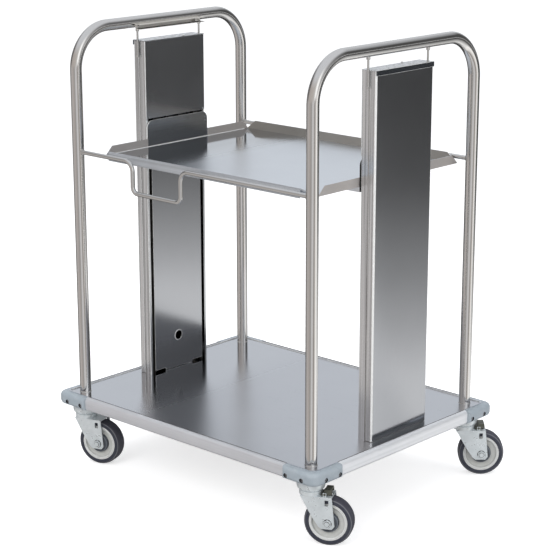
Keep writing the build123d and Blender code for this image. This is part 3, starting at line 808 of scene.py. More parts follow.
def fastener_growth() -> Growth:
    """Screw heads on guide points, each turned to face along the point's stored direction.

    Returns:
        The tree.
    """
    growth = Growth("fasteners", head=("NodeSocketObject", None), size=("NodeSocketFloat", 1.0))
    head = growth.add("GeometryNodeObjectInfo", Object=growth.start["head"]).outputs["Geometry"]
    facing = growth.add("GeometryNodeInputNamedAttribute", {"data_type": "FLOAT_VECTOR"}, Name="facing")
    turn = growth.add("FunctionNodeAlignRotationToVector", {"axis": "Z"}, Vector=facing.outputs[0]).outputs[0]
    placed = growth.add("GeometryNodeInstanceOnPoints", Points=growth.start["Geometry"], Instance=head,
                        Rotation=turn, Scale=growth.start["size"]).outputs[0]
    growth.close(placed)
    return growth


@dataclass(frozen=True)
class Camera:
    """The photograph's camera, found from the straight edges of the cart."""

    where: Point = (2.500, -2.743, 1.452)
    yaw: float = 0.7412
    pitch: float = 0.2665
    lens: float = 111.9
    film_width: float = 36.0
    sight: float = 60.0

    def build(self) -> None:
        """Adds the camera and makes it the scene's own."""
        data = bpy.data.cameras.new("camera")
        data.sensor_width = self.film_width
        data.lens = self.lens
        data.clip_end = self.sight
        camera = bpy.data.objects.new("camera", data)
        camera.location = self.where
        camera.rotation_euler = (math.pi / 2 - self.pitch, 0.0, self.yaw)
        bpy.context.scene.collection.objects.link(camera)
        bpy.context.scene.camera = camera


@dataclass(frozen=True)
class Lamp:
    """A large, plain area lamp that faces the cart."""

    name: str
    where: Point
    size: float
    power: float
    aim: Point = (0.0, 0.0, 0.4)

    def build(self) -> None:
        """Adds the lamp, turned towards the middle of the cart."""
        data = bpy.data.lights.new(self.name, "AREA")
        data.size = self.size
        data.energy = self.power
        lamp = bpy.data.objects.new(self.name, data)
        lamp.location = self.where
        lamp.rotation_euler = (Vector(self.aim) - Vector(self.where)).to_track_quat("-Z", "Y").to_euler()
        lamp.visible_glossy = False
        bpy.context.scene.collection.objects.link(lamp)


class Surround(Tree):
    """The node tree of the room or the floor, whose tones go by bearing from the camera's side."""

    toward_camera = (0.6752, -0.7376)

    def ramp(self, source: bpy.types.NodeSocket,
             stops: Sequence[tuple[float, Colour]]) -> bpy.types.NodeSocket:
        """Adds a colour ramp.

        Args:
            source: The value that it follows, from 0 to 1.
            stops: Places and colours.

        Returns:
            The ramp's colour.
        """
        ramp = self.add("ShaderNodeValToRGB", Fac=source)
        elements = ramp.color_ramp.elements
        elements[0].position = stops[0][0]
        elements[1].position = stops[-1][0]
        for spot, _ in stops[1:-1]:
            elements.new(spot)
        for element, (_, colour) in zip(elements, stops):
            element.color = (*colour, 1.0)
        return ramp.outputs["Color"]

    def turn(self, x: bpy.types.NodeSocket, y: bpy.types.NodeSocket) -> bpy.types.NodeSocket:
        """Works out a bearing as a share of a whole turn.

        Args:
            x: How far along X.
            y: How far along Y.

        Returns:
            A value from 0 to 1, with the camera's side at 0.5.
        """
        side_x, side_y = self.toward_camera
        ahead = self.maths("MULTIPLY_ADD", x, side_x, self.maths("MULTIPLY", y, side_y))
        right = self.maths("MULTIPLY_ADD", x, -side_y, self.maths("MULTIPLY", y, side_x))
        return self.maths("MULTIPLY_ADD", self.maths("ARCTAN2", right, ahead), 1.0 / math.tau, 0.5)

    def sectors(self, turn: bpy.types.NodeSocket,
                stops: Sequence[tuple[float, Colour]]) -> bpy.types.NodeSocket:
        """Adds a ramp whose stops are given by bearing in degrees."""
        return self.ramp(turn, [(angle / 360.0 + 0.5, colour) for angle, colour in stops])

    def mixed(self, share: bpy.types.NodeSocket, first: bpy.types.Node,
              second: bpy.types.Node) -> bpy.types.Node:
        """Mixes two shaders.

        Args:
            share: Share of the second.
            first: A shader node.
            second: A shader node.

        Returns:
            The mixing node.
        """
        mix = self.add("ShaderNodeMixShader", Fac=share)
        self.feed(mix.inputs[1], first.outputs[0])
        self.feed(mix.inputs[2], second.outputs[0])
        return mix

    def show(self, end: str, shader: bpy.types.Node) -> None:
        """Gives a shader to the tree's own output node."""
        self.feed(self.tree.nodes[end].inputs["Surface"], shader.outputs[0])


@dataclass(frozen=True)
class Studio:
    """A pale floor, soft lamps and a room that is white to the camera and toned in the steel.

    The tones go by bearing, in degrees from the camera's side, positive to its right. The floor's rings give
    its brightness in the steel by distance from the cart.
    """

    floor_size: float = 24.0
    floor_colour: Colour = (0.72, 0.72, 0.72)
    floor_glow: float = 0.62
    below: tuple[tuple[float, Colour], ...] = (
        (-180.0, (0.06, 0.06, 0.06)), (-150.0, (0.08, 0.08, 0.08)), (-124.0, (0.27, 0.25, 0.24)),
        (-98.0, (0.50, 0.48, 0.47)), (-92.0, (0.52, 0.50, 0.49)), (-76.0, (0.54, 0.51, 0.50)),
        (-60.0, (0.50, 0.46, 0.44)), (-40.0, (0.46, 0.43, 0.42)), (-24.0, (0.36, 0.35, 0.34)),
        (-8.0, (0.72, 0.71, 0.72)), (14.0, (0.70, 0.69, 0.69)), (30.0, (0.30, 0.28, 0.27)),
        (40.0, (0.42, 0.39, 0.37)), (58.0, (0.95, 0.93, 0.91)), (80.0, (1.25, 1.24, 1.23)),
        (97.0, (0.80, 0.81, 0.82)), (116.0, (0.40, 0.40, 0.41)), (140.0, (0.18, 0.18, 0.18)),
        (180.0, (0.06, 0.06, 0.06)))
    above: tuple[tuple[float, Colour], ...] = (
        (-180.0, (0.68, 0.70, 0.73)), (-156.0, (0.66, 0.68, 0.71)), (-138.0, (0.16, 0.16, 0.16)),
        (-104.0, (0.16, 0.15, 0.15)), (-84.0, (0.50, 0.46, 0.44)), (-30.0, (0.56, 0.52, 0.49)),
        (0.0, (0.60, 0.57, 0.55)), (14.0, (0.75, 0.74, 0.73)), (24.0, (1.3, 1.3, 1.3)),
        (42.0, (1.3, 1.3, 1.3)), (52.0, (0.66, 0.66, 0.67)), (80.0, (0.28, 0.28, 0.29)),
        (98.0, (0.08, 0.08, 0.08)), (138.0, (0.10, 0.10, 0.10)), (156.0, (0.66, 0.68, 0.71)),
        (180.0, (0.68, 0.70, 0.73)))
    ceiling: Colour = (0.72, 0.74, 0.78)
    horizon: tuple[float, float] = (-0.06, 0.06)
    ceiling_start: tuple[float, float] = (0.42, 0.75)
    fading: tuple[tuple[float, Colour], ...] = (
        (-180.0, (0.0, 0.0, 0.0)), (79.0, (0.0, 0.0, 0.0)), (86.0, WHITE), (124.0, WHITE),
        (134.0, (0.0, 0.0, 0.0)), (180.0, (0.0, 0.0, 0.0)))
    floor_rings: tuple[tuple[float, float], ...] = (
        (0.0, 1.0), (1.1, 0.95), (1.5, 0.66), (2.1, 0.42), (2.6, 0.30), (3.5, 0.13), (6.0, 0.085))
    lamps: tuple[Lamp, ...] = (
        Lamp("key", (0.6, -3.2, 2.6), 2.2, 60.0),
        Lamp("fill", (3.4, 0.6, 1.8), 2.4, 30.0),
        Lamp("top", (-0.8, 0.4, 3.4), 2.6, 45.0),
    )

    def build(self) -> None:
        """Adds the floor, the room and the lamps."""
        self.floor()
        self.room()
        for lamp in self.lamps:
            lamp.build()
        bpy.context.scene.view_settings.view_transform = "Standard"

    def room(self) -> None:
        """The room: white to the camera, light and dark sectors to the steel."""
        world = bpy.data.worlds.new("room")
        bpy.context.scene.world = world
        world.use_nodes = True
        room = Surround(world.node_tree)
        x, y, z = room.axes(room.add("ShaderNodeTexCoord").outputs["Generated"])
        turn = room.turn(x, y)
        walls = room.blend(room.range(z, *self.horizon), room.sectors(turn, self.below),
                           room.sectors(turn, self.above))
        seen_by_steel = room.tree.nodes["Background"]
        room.feed(seen_by_steel.inputs["Color"], room.blend(room.range(z, *self.ceiling_start), walls,
                                                            self.ceiling))
        to_camera = room.add("ShaderNodeLightPath").outputs["Is Camera Ray"]
        white = room.add("ShaderNodeBackground", Color=WHITE)
        room.show("World Output", room.mixed(to_camera, seen_by_steel, white))

    def floor(self) -> None:
        """The floor: white with a soft shadow to the camera; the steel sees the room through most of it."""
        mesh = bmesh.new()
        bmesh.ops.create_grid(mesh, x_segments=8, y_segments=8, size=self.floor_size / 2)
        material = bpy.data.materials.new("studio_floor")
        material.use_nodes = True
        floor = Surround(material.node_tree)
        floor.tree.nodes.remove(floor.tree.nodes["Principled BSDF"])
        spot = floor.add("ShaderNodeTexCoord").outputs["Object"]
        x, y, _ = floor.axes(spot)
        length = floor.add("ShaderNodeVectorMath", {"operation": "LENGTH"})
        floor.feed(length.inputs[0], spot)
        reach = self.floor_rings[-1][0]
        rings = floor.ramp(floor.maths("DIVIDE", length.outputs["Value"], reach),
                           [(radius / reach, (level, level, level)) for radius, level in self.floor_rings])
        clear = floor.add("ShaderNodeBsdfTransparent")
        glow = floor.add("ShaderNodeEmission", Color=rings)
        steel = floor.mixed(floor.sectors(floor.turn(x, y), self.fading), clear, glow)
        plain = floor.add("ShaderNodeBsdfDiffuse", Color=self.floor_colour)
        lit = floor.add("ShaderNodeEmission", Strength=self.floor_glow)
        both = floor.add("ShaderNodeAddShader")
        floor.feed(both.inputs[0], plain.outputs[0])
        floor.feed(both.inputs[1], lit.outputs[0])
        path = floor.add("ShaderNodeLightPath").outputs
        unseen = floor.mixed(path["Is Glossy Ray"], plain, steel)
        floor.show("Material Output", floor.mixed(path["Is Camera Ray"], unseen, both))
        object_from("floor", plain_mesh("floor", mesh), material)


@dataclass
class Growths:
    """The Geometry Nodes trees, made once each."""

    bar: Growth = field(default_factory=tube_growth)
    coil: Growth = field(default_factory=coil_growth)
    bead: Growth = field(default_factory=bead_growth)
    fasteners: Growth = field(default_factory=fastener_growth)


def ring_of(centre: Vector, radius: float, axis: Vector, steps: int = 40) -> list[Vector]:
    """Points of a closed ring.

    Args:
        centre: Its middle.
        radius: Its radius.
        axis: The direction that it faces.
        steps: How many points.

    Returns:
        The points, with the first repeated at the end.
    """
    turn = UP.rotation_difference(axis)
    angles = [math.tau * step / steps for step in range(steps + 1)]
    return [centre + turn @ Vector((radius * math.cos(a), radius * math.sin(a), 0.0)) for a in angles]


def screw_head(radius: float, materials: Materials) -> bpy.types.Object:
    """Makes one round screw head with a socket, facing up.

    Args:
        radius: The head's radius.
        materials: The finishes.

    Returns:
        The head, at the origin.
    """
    profile = [(0.0, -0.0006), (radius * 0.34, -0.0006), (radius * 0.36, 0.0011), (radius * 0.62, 0.0013),
               (radius * 0.9, 0.0006), (radius, -0.0002), (radius, -0.0016), (0.0, -0.0016)]
    return turned("screw_head", profile, Vector((0, 0, 0)), UP, materials["screw"], steps=24)


def facing_guide(spots: Sequence[Vector], facings: Sequence[Point]) -> bpy.types.Mesh:
    """A mesh of loose points, each with the way that it faces.

    Args:
        spots: The points.
        facings: The way of each.

    Returns:
        The mesh.
    """
    mesh = guide("facing_spots", spots, linked=False)
    attribute = mesh.attributes.new("facing", "FLOAT_VECTOR", "POINT")
    for item, facing in zip(attribute.data, facings):
        item.vector = facing
    return mesh


def screws(name: str, radius: float, spots: Sequence[Vector], facings: Sequence[Point], growths: Growths,
           materials: Materials, size: float = 1.0) -> bpy.types.Object:
    """Sets a screw head on each of some points.

    Args:
        name: The new object's name.
        radius: The head's radius.
        spots: The points.
        facings: The way that each screw faces.
        growths: The trees.
        materials: The finishes.
        size: Multiplier of the head's size.

    Returns:
        The screw heads.
    """
    head = screw_head(radius, materials)
    piece = growths.fasteners.grow(name, facing_guide(spots, facings), materials["screw"], head=head,
                                   size=size)
    bpy.data.objects.remove(head)
    return piece


def lines(name: str, runs: Iterable[tuple[float, float, float, float]], level: float, bar: Growth,
          finish: bpy.types.Material, radius: float, facets: int) -> bpy.types.Object:
    """Lays straight thin rods at one height and joins them.

    Args:
        name: The new object's name.
        runs: For each rod, X and Y of its start and of its end.
        level: Their height.
        bar: The tree of a round bar.
        finish: The material.
        radius: The rods' radius.
        facets: Facets round each rod.

    Returns:
        The joined rods.
    """
    pieces = []
    for start_x, start_y, end_x, end_y in runs:
        path = [place(start_x, start_y, level), place(end_x, end_y, level)]
        pieces.append(bar.grow("line", guide("line_path", path), finish, radius=radius, facets=facets))
    return joined(name, pieces)


def in_metres(outline: Iterable[tuple[float, float]]) -> list[tuple[float, float]]:
    """An outline in millimetres as one in metres."""
    return [(radius * MM, along * MM) for radius, along in outline]


def both_sides(half: Sequence[tuple[float, float]]) -> list[tuple[float, float]]:
    """A closed outline in metres from its half on one side of the middle, in millimetres."""
    return in_metres([*half, *((radius, -along) for radius, along in reversed(half))])


@dataclass
class EndFrame:
    """One bent-tube end frame, welded to the deck at both feet."""

    side: str
    radius: float = 0.0127
    bend: float = 0.09
    top: float = 0.987
    foot: float = 0.1388
    deck: float = 0.166
    collar: float = 0.0137
    collar_height: float = 0.0018
    bead: float = 0.0006
    bend_steps: int = 28
    facets: int = 64
    drops: int = 34

    def corners(self) -> list[Vector]:
        """The corners of the tube's path, from the front foot to the back foot."""
        x = SIDES[self.side] * LEG_X
        return [place(x, -LEG_Y, self.foot), place(x, -LEG_Y, self.top), place(x, LEG_Y, self.top),
                place(x, LEG_Y, self.foot)]

    def tube(self, growths: Growths, materials: Materials) -> bpy.types.Object:
        """Bends the tube, with its polish running along each part of it.

        Args:
            growths: The trees.
            materials: The finishes.

        Returns:
            The tube.
        """
        path = rounded_path(self.corners(), (self.bend, self.bend), self.bend_steps)
        piece = growths.bar.grow(f"tube_{self.side}", guide("tube_path", path), materials["tube"],
                                 radius=self.radius, facets=self.facets)
        turning = self.top - self.bend * 0.3
        return dressed(piece, materials, ("tube_level", lambda spot, normal: spot.z > turning))

    def weld(self, growths: Growths, materials: Materials, foot: Vector) -> bpy.types.Object:
        """Makes the fillet and bead where a leg meets the deck.

        Args:
            growths: The trees.
            materials: The finishes.
            foot: A point on the leg's axis.

        Returns:
            The weld.
        """
        base = Vector((foot.x, foot.y, self.deck))
        profile = [(self.radius - 0.0004, 0.0), (self.collar, 0.0), (self.collar - 0.0003, 0.0008),
                   (self.radius + 0.0006, self.collar_height - 0.0006),
                   (self.radius - 0.0004, self.collar_height)]
        fillet = turned("weld_fillet", profile, base, UP, materials["weld"])
        path = ring_of(base + UP * (self.bead * 0.7), self.radius + self.bead * 0.6, UP)
        ripple = growths.bead.grow("weld_ripple", guide("weld_path", path), materials["weld"],
                                   radius=self.bead, drops=self.drops)
        return joined("weld", [fillet, ripple])

    def build(self, growths: Growths, materials: Materials) -> None:
        """Makes the whole end frame."""
        node = f"end_frame_{self.side}"
        path = self.corners()
        tube = self.tube(growths, materials)
        welds = [self.weld(growths, materials, foot) for foot in (path[0], path[-1])]
        stand_for(joined(f"{node}_finished", [tube, *welds]), node)
        log.info("end frame %s", self.side)


@dataclass
class GuideWire:
    """One guide wire between the legs, dipped once for the hand."""

    end: str
    radius: float = 0.00475
    level: float = 0.719
    dip: tuple[float, float] = (-0.169, -0.0235)
    dip_level: float = 0.651
    bends: tuple[float, ...] = (0.022, 0.014, 0.014, 0.022)
    leg_radius: float = 0.0127
    bead: float = 0.0012
    bend_steps: int = 12
    facets: int = 32
    drops: int = 20

    def corners(self) -> list[Vector]:
        """The corners of the wire's path."""
        way = -1 if self.end == "front" else 1
        reach = LEG_X - self.leg_radius + 0.0005
        runs = [(-reach, self.level), (self.dip[0], self.level), (self.dip[0], self.dip_level),
                (self.dip[1], self.dip_level), (self.dip[1], self.level), (reach, self.level)]
        return [place(-way * x, way * LEG_Y, z) for x, z in runs]

    def build(self, growths: Growths, materials: Materials) -> None:
        """Bends the wire and welds it to the legs."""
        node = f"guide_wire_{self.end}"
        corners = self.corners()
        path = rounded_path(corners, self.bends, self.bend_steps)
        pieces = [growths.bar.grow("wire", guide("wire_path", path), materials["wire"], radius=self.radius,
                                   facets=self.facets)]
        for tip in (corners[0], corners[-1]):
            inward = -self.bead if tip.x > CENTRE_X else self.bead
            ring = ring_of(tip + Vector((inward, 0, 0)), self.radius + self.bead * 0.4, Vector((1, 0, 0)))
            pieces.append(growths.bead.grow("wire_weld", guide("wire_weld_path", ring), materials["weld"],
                                            radius=self.bead, drops=self.drops))
        stand_for(joined(f"{node}_finished", pieces), node)
        log.info("guide wire %s", self.end)


@dataclass
class Column:
    """One slim lift column: two channels, the cover, the inner panels, the cap and the springs."""

    side: str
    rounding: float = 0.0007
    seam_x: float = 0.3325
    inner_face: float = 0.3164
    cap_bottom: float = 0.9355
    spring_radius: float = 0.0086
    spring_wire: float = 0.0012
    spring_turns: float = 78.0
    spring_span: tuple[float, float] = (0.6715, 0.929)
    spring_x: float = 0.334
    spring_pitch: float = 0.040

    def rules(self) -> dict[str, tuple[Rule, ...]]:
        """Where each sheet of the column shows another finish: painted highlights on bends and cut edges,
        painted shade behind the seams and inside the column, and painted light on the cover's front and back
        and the cap's top.

        Returns:
            The rules of each piece by name.
        """
        side = SIDES[self.side]
        # Painted highlight on the bends.
        bends: Rule = ("edge", lambda spot, normal: slanted(normal))
        # Painted shade on the channel faces behind the seam.
        channel = (bends, ("seam", lambda spot, normal: spot.x * side > self.seam_x))
        return {
            "channel_front": channel,
            "channel_back": channel,
            # Painted light: the cover's front and back faces take the lighter channel steel, and its bends
            # the painted highlight.
            "cover": (("channel", lambda spot, normal: abs(normal.x) < 0.15),
                      ("edge", lambda spot, normal: 0.15 < abs(normal.x) < 0.95)),
            # Painted shade on the inner panel's faces inside the column.
            "inner_panel": (bends, ("inside", lambda spot, normal: spot.x * side > self.inner_face)),
            # Painted highlight on the access panel's edges.
            "access_panel": (("edge", lambda spot, normal: abs(normal.x) < SQUARE),),
            # Painted light on the cap's top, and a painted highlight on its lower rim and slopes, over the
            # darker lip.
            "cap": (("channel", lambda spot, normal: normal.z > SQUARE),
                    ("edge", lambda spot, normal: 0.2 < abs(normal.z) < SQUARE or spot.z < self.cap_bottom)),
        }

    def springs(self, growths: Growths, materials: Materials) -> None:
        """Winds the three springs that carry the tray."""
        x = SIDES[self.side] * self.spring_x
        feet = [place(x, LIFT_Y + row * self.spring_pitch, self.spring_span[0]) for row in (-1, 0, 1)]
        node = f"springs_{self.side}"
        coils = growths.coil.grow(f"{node}_finished", guide("spring_feet", feet, linked=False),
                                  materials["spring"], radius=self.spring_radius, wire=self.spring_wire,
                                  turns=self.spring_turns, height=self.spring_span[1] - self.spring_span[0])
        stand_for(coils, node)

    def build(self, growths: Growths, materials: Materials) -> None:
        """Makes the whole column."""
        finishes = {"channel_front": "channel", "channel_back": "channel", "cover": "panel",
                    "inner_panel": "panel", "access_panel": "panel", "cap": "cap_lip"}
        rules = self.rules()
        for name, finish in finishes.items():
            piece = softened(f"{name}_{self.side}", materials[finish], self.rounding)
            dressed(piece, materials, *rules[name])
        self.springs(growths, materials)
        log.info("column %s", self.side)


@dataclass
class Lift:
    """The tray and the carriages that hold it."""

    fold: float = 0.0009
    crease: float = 20.0
    plate_edge: float = 0.0006
    plate: tuple[float, float] = (0.311, 0.3135)
    front: float = -0.205
    back: float = 0.2345
    floor: float = 0.7082
    fold_x: float = 0.3089
    fold_y: float = 0.2474
    fold_radius: float = 0.0006
    screw_y: float = 0.105
    screw_levels: tuple[float, float] = (0.7535, 0.746)
    screw_radius: float = 0.0044
    screw_size: float = 0.55

    def folds(self, growths: Growths, materials: Materials) -> None:
        """Lays a painted highlight, a thin bright rod, along the tray's folds at both sides and at the back.
        """
        left, right = -self.fold_x, self.fold_x
        runs = ((left, self.front, left, self.back), (right, self.front, right, self.back),
                (left, self.fold_y, right, self.fold_y))
        rods = lines("tray_folds", runs, self.floor, growths.bar, materials["edge"], self.fold_radius,
                     facets=16)
        add_to(rods, "tray")

    def tray(self, materials: Materials) -> None:
        """Makes the tray, with its flanges and its rolled front edge, painted reflections on the flanges,
        back and roll, and a painted highlight on its fold roundings.
        """
        piece = softened("tray", materials["tray"], self.fold, 3, self.crease)
        dressed(piece, materials,
                # Painted reflections on the flanges, back and roll; painted highlight on the fold roundings.
                ("tray_flange", lambda spot, normal: abs(normal.x) > SQUARE),
                ("edge", lambda spot, normal: slanted(normal) and normal.z > 0.25),
                ("tray_back", lambda spot, normal: spot.y > self.back and abs(normal.y) > SQUARE),
                ("tray_roll", lambda spot, normal: spot.y < self.front))

    def carriage(self, side: str, growths: Growths, materials: Materials) -> None:
        """Makes one carriage, with a painted highlight on the left plate's cut edges, painted shade on the
        right's, and two small screws near its upper back corner.
        """
        near, far = self.plate
        way = SIDES[side]
        piece = softened(f"carriage_{side}", materials["carriage"], self.plate_edge)
        # Painted highlight on the left plate's rim, painted shade on the right's.
        rim = "edge" if side == "left" else "inside"
        dressed(piece, materials,
                (rim, lambda spot, normal: near < spot.x * way < far and abs(normal.x) < SQUARE))
        spots = [place(way * near, self.screw_y, level) for level in self.screw_levels]
        heads = screws(f"carriage_screws_{side}", self.screw_radius, spots, [(-way, 0.0, 0.0)] * len(spots),
                       growths, materials, self.screw_size)
        add_to(heads, f"carriage_{side}")

    def build(self, growths: Growths, materials: Materials) -> None:
        """Makes the tray, the carriages and their rollers."""
        self.tray(materials)
        self.folds(growths, materials)
        for side in SIDES:
            self.carriage(side, growths, materials)
            for level in ("upper", "lower"):
                softened(f"rollers_{level}_{side}", materials["roller"], self.plate_edge)
        log.info("lift")


@dataclass
class Ties:
    """The rods, sleeves and brackets that hold the columns to the top bars."""

    edge: float = 0.0003
    bracket_x: tuple[float, float] = (0.3160, 0.3300)
    bracket_z: tuple[float, float] = (0.9725, 0.9825)

    def in_bracket(self, spot: Vector, normal: Vector) -> bool:
        """Whether a face of a bracket is the floor of its groove."""
        low, high = self.bracket_z
        near, far = self.bracket_x
        return low < spot.z < high and near < abs(spot.x) < far and normal.z > 0.5

    def build(self, materials: Materials) -> None:
        """Makes the ties and the spring bars."""
        softened("tie_rods", materials["wire"], self.edge)
        brackets = softened("tie_brackets", materials["bracket"], self.edge)
        # Painted shade on the floor of each bracket's groove.
        dressed(brackets, materials, ("inside", self.in_bracket))
        softened("spring_anchors", materials["dark_steel"], self.edge)
        log.info("ties")


@dataclass
class Deck:
    """The pan with its hem, the underframe, the edge rails and the corner bumpers."""

    hem: float = 0.0007
    crease: float = 24.0
    far_hem: tuple[float, float, float] = (-0.3695, 0.2815, 0.1662)
    hem_top: float = 0.168
    seam: tuple[float, float] = (0.3745, 0.2865)
    seam_radius: float = 0.0006
    rail_half: tuple[float, float] = (0.301, 0.213)
    moulding: float = 0.0014
    screw_radius: float = 0.0044
    screw_depth: float = 0.003
    screw_offsets: tuple[float, float] = (0.036, 0.079)
    screw_level: float = 0.148
    recess_radius: float = 0.0054
    skin: float = 0.0002
    outer: tuple[float, float] = (0.391, 0.303)

    def in_recess(self, spot: Vector, normal: Vector) -> bool:
        """Whether a face of a bumper lies in the recess round a screw."""
        outer_x, outer_y = self.outer
        reach_x, reach_y = abs(spot.x), abs(spot.y)
        rise = spot.z - self.screw_level
        for offset in self.screw_offsets:
            beside = math.hypot(reach_y - outer_y + offset, rise) < self.recess_radius
            if beside and reach_x < outer_x - self.skin:
                return True
            before = math.hypot(reach_x - outer_x + offset, rise) < self.recess_radius
            if before and reach_y < outer_y - self.skin:
                return True
        return False

    def seams(self, growths: Growths, materials: Materials) -> None:
        """Draws a line of painted shade, a thin near-black rod, between the pan's hem and each edge rail."""
        reach_x, reach_y = self.seam
        half_x, half_y = self.rail_half
        runs = [(-half_x, way * reach_y, half_x, way * reach_y) for way in (-1, 1)]
        runs += [(way * reach_x, -half_y, way * reach_x, half_y) for way in (-1, 1)]
        rods = lines("hem_seams", runs, self.hem_top, growths.bar, materials["inside"], self.seam_radius,
                     facets=12)
        add_to(rods, "deck_pan")

    def screws(self, growths: Growths, materials: Materials) -> None:
        """Sets the bumper screws in their recesses."""
        outer_x, outer_y = self.outer
        spots = []
        facings = []
        level = self.screw_level
        for sx, sy in CORNERS.values():
            for offset in self.screw_offsets:
                spots.append(place(sx * (outer_x - self.screw_depth), sy * (outer_y - offset), level))
                facings.append((sx, 0.0, 0.0))
                spots.append(place(sx * (outer_x - offset), sy * (outer_y - self.screw_depth), level))
                facings.append((0.0, sy, 0.0))
        heads = screws("bumper_screws_finished", self.screw_radius, spots, facings, growths, materials)
        stand_for(heads, "bumper_screws")

    def build(self, growths: Growths, materials: Materials) -> None:
        """Makes the whole deck."""
        pan = softened("deck_pan", materials["deck"], self.hem, angle=self.crease)
        far_x, far_y, floor = self.far_hem
        # Painted light: the upper faces of the far hem, at the left and the back, take the near-white steel
        # so that the hem does not read dark.
        dressed(pan, materials,
                ("edge", lambda spot, normal: spot.z > floor and (spot.x < far_x or spot.y > far_y)))
        softened("underframe", materials["dark_steel"], self.hem)
        for name in ("front", "back"):
            softened(f"rail_{name}", materials["rail"], self.hem, angle=self.crease)
        for name in ("left", "right"):
            softened(f"rail_{name}", materials["rail_side"], self.hem, angle=self.crease)
        for corner in CORNERS:
            piece = softened(f"bumper_{corner}", materials["bumper"], self.moulding, 4, self.crease)
            # Painted shade in the recesses round the screws.
            dressed(piece, materials, ("recess", self.in_recess))
        self.screws(growths, materials)
        self.seams(growths, materials)
        for name in ("raceways", "kingpins"):
            softened(name, materials["zinc"], self.hem * 0.6)
        log.info("deck")


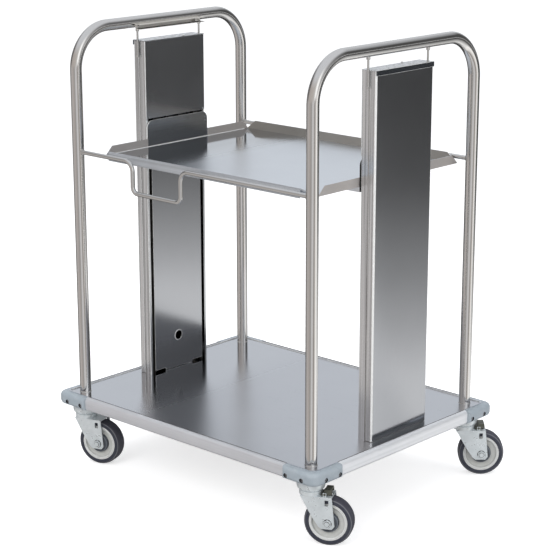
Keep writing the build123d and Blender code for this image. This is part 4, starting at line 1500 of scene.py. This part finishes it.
@dataclass
class Caster:
    """One swivelling caster: the pressed fork, the axle, the two-part wheel and perhaps a brake."""

    corner: str
    heading: float
    trail: float = 0.039
    centre_height: float = 0.051
    press: float = 0.0009
    facets: int = 96
    hub_facets: int = 72
    seam_facets: int = 48
    # Painted shade rings round the axle: inner and outer radius and place along it, in millimetres.
    seams: tuple[tuple[float, float, float], ...] = ((5.2, 9.0, 22.0), (5.0, 5.9, 26.5))
    seam_depth: float = 0.15
    tyre_half: tuple[tuple[float, float], ...] = (
        (40.0, 15.0), (40.8, 15.9), (45.6, 16.0), (46.4, 15.5), (47.4, 15.3), (49.0, 14.3), (50.3, 12.2),
        (50.9, 9.0), (51.0, 3.0))
    tyre_rings: tuple[tuple[str, float, float], ...] = (("tyre_edge", 47.8, 49.4), ("tread", 49.4, 60.0))
    core_half: tuple[tuple[float, float], ...] = (
        (21.5, 8.8), (23.0, 8.6), (31.0, 9.6), (33.0, 10.4), (34.2, 14.4), (35.2, 15.3), (37.0, 15.5),
        (37.6, 14.7), (39.9, 14.8))
    hub_cap: tuple[tuple[float, float], ...] = (
        (5.1, 19.2), (10.6, 19.2), (12.6, 17.9), (14.0, 17.2), (19.2, 16.6), (21.0, 15.6), (22.0, 13.6),
        (22.2, 8.0), (5.1, 8.0))
    # The rim rings are painted lighter than the core's plastic between them: painted highlights.
    wheel_rings: tuple[tuple[str, float, float], ...] = (
        ("hub_ring", 17.0, 21.3), ("rim", 34.0, 37.1), ("core", 37.1, 38.6), ("rim", 38.6, 41.0))

    @property
    def axle_point(self) -> Vector:
        """The middle of the wheel."""
        sx, sy = CORNERS[self.corner]
        angle = math.radians(self.heading)
        return place(sx * LEG_X + self.trail * math.cos(angle), sy * LEG_Y + self.trail * math.sin(angle),
                     self.centre_height)

    @property
    def axis(self) -> Vector:
        """The direction of the axle."""
        angle = math.radians(self.heading)
        return Vector((-math.sin(angle), math.cos(angle), 0.0))

    def ring(self, finish: str, inner: float, outer: float) -> Rule:
        """A rule for the faces between two distances from the axle, in millimetres."""
        def passes(spot: Vector, normal: Vector) -> bool:
            """Whether a face lies in the ring."""
            offset = spot + place(0.0, 0.0, 0.0) - self.axle_point
            distance = (offset - self.axis * offset.dot(self.axis)).length
            return inner * MM < distance < outer * MM
        return finish, passes

    def axle_seam_shades(self, materials: Materials) -> None:
        """Turns near-black rings of painted shade round the axle's head and its stub, at both ends."""
        pieces = []
        for way in (-1, 1):
            for inner, outer, near in self.seams:
                far = near + self.seam_depth
                profile = in_metres([(inner, near), (outer, near), (outer, far), (inner, far)])
                pieces.append(turned("seam", profile, self.axle_point, self.axis * way, materials["inside"],
                                     self.seam_facets))
        add_to(joined(f"axle_seams_{self.corner}", pieces), f"axle_{self.corner}")

    def tyre(self, materials: Materials) -> None:
        """Turns the tyre, with a painted highlight line round each shoulder."""
        node = f"tyre_{self.corner}"
        piece = turned(f"{node}_finished", both_sides(self.tyre_half), self.axle_point, self.axis,
                       materials["tyre"], self.facets)
        dressed(piece, materials, *(self.ring(*limits) for limits in self.tyre_rings))
        stand_for(piece, node)

    def wheel(self, materials: Materials) -> None:
        """Turns the wheel's core with its stepped rim and dished web, and the dark caps over its bearings."""
        pieces = [turned("core", both_sides(self.core_half), self.axle_point, self.axis, materials["core"],
                         self.facets)]
        for way in (-1, 1):
            pieces.append(turned("hub", in_metres(self.hub_cap), self.axle_point, self.axis * way,
                                 materials["hub"], self.hub_facets))
        node = f"wheel_{self.corner}"
        piece = joined(f"{node}_finished", pieces)
        dressed(piece, materials, *(self.ring(*limits) for limits in self.wheel_rings))
        stand_for(piece, node)

    def build(self, materials: Materials) -> None:
        """Makes the whole caster."""
        self.tyre(materials)
        self.wheel(materials)
        softened(f"fork_{self.corner}", materials["zinc"], self.press, 3)
        softened(f"axle_{self.corner}", materials["zinc"], self.press * 0.5)
        self.axle_seam_shades(materials)
        if self.corner in BRAKED:
            softened(f"brake_pedal_{self.corner}", materials["pedal"], self.press * 0.6)
        log.info("caster %s", self.corner)


def main() -> None:
    """Builds the camera, the studio and every sub-assembly of the cart."""
    logging.basicConfig(level=logging.INFO, format="%(name)s: %(message)s")
    Camera().build()
    Studio().build()
    materials = Materials()
    growths = Growths()
    for side in SIDES:
        EndFrame(side).build(growths, materials)
        Column(side).build(growths, materials)
    for end in ("front", "back"):
        GuideWire(end).build(growths, materials)
    Lift().build(growths, materials)
    Ties().build(materials)
    Deck().build(growths, materials)
    for corner, heading in HEADINGS.items():
        Caster(corner, heading).build(materials)


if __name__ == "__main__":
    main()
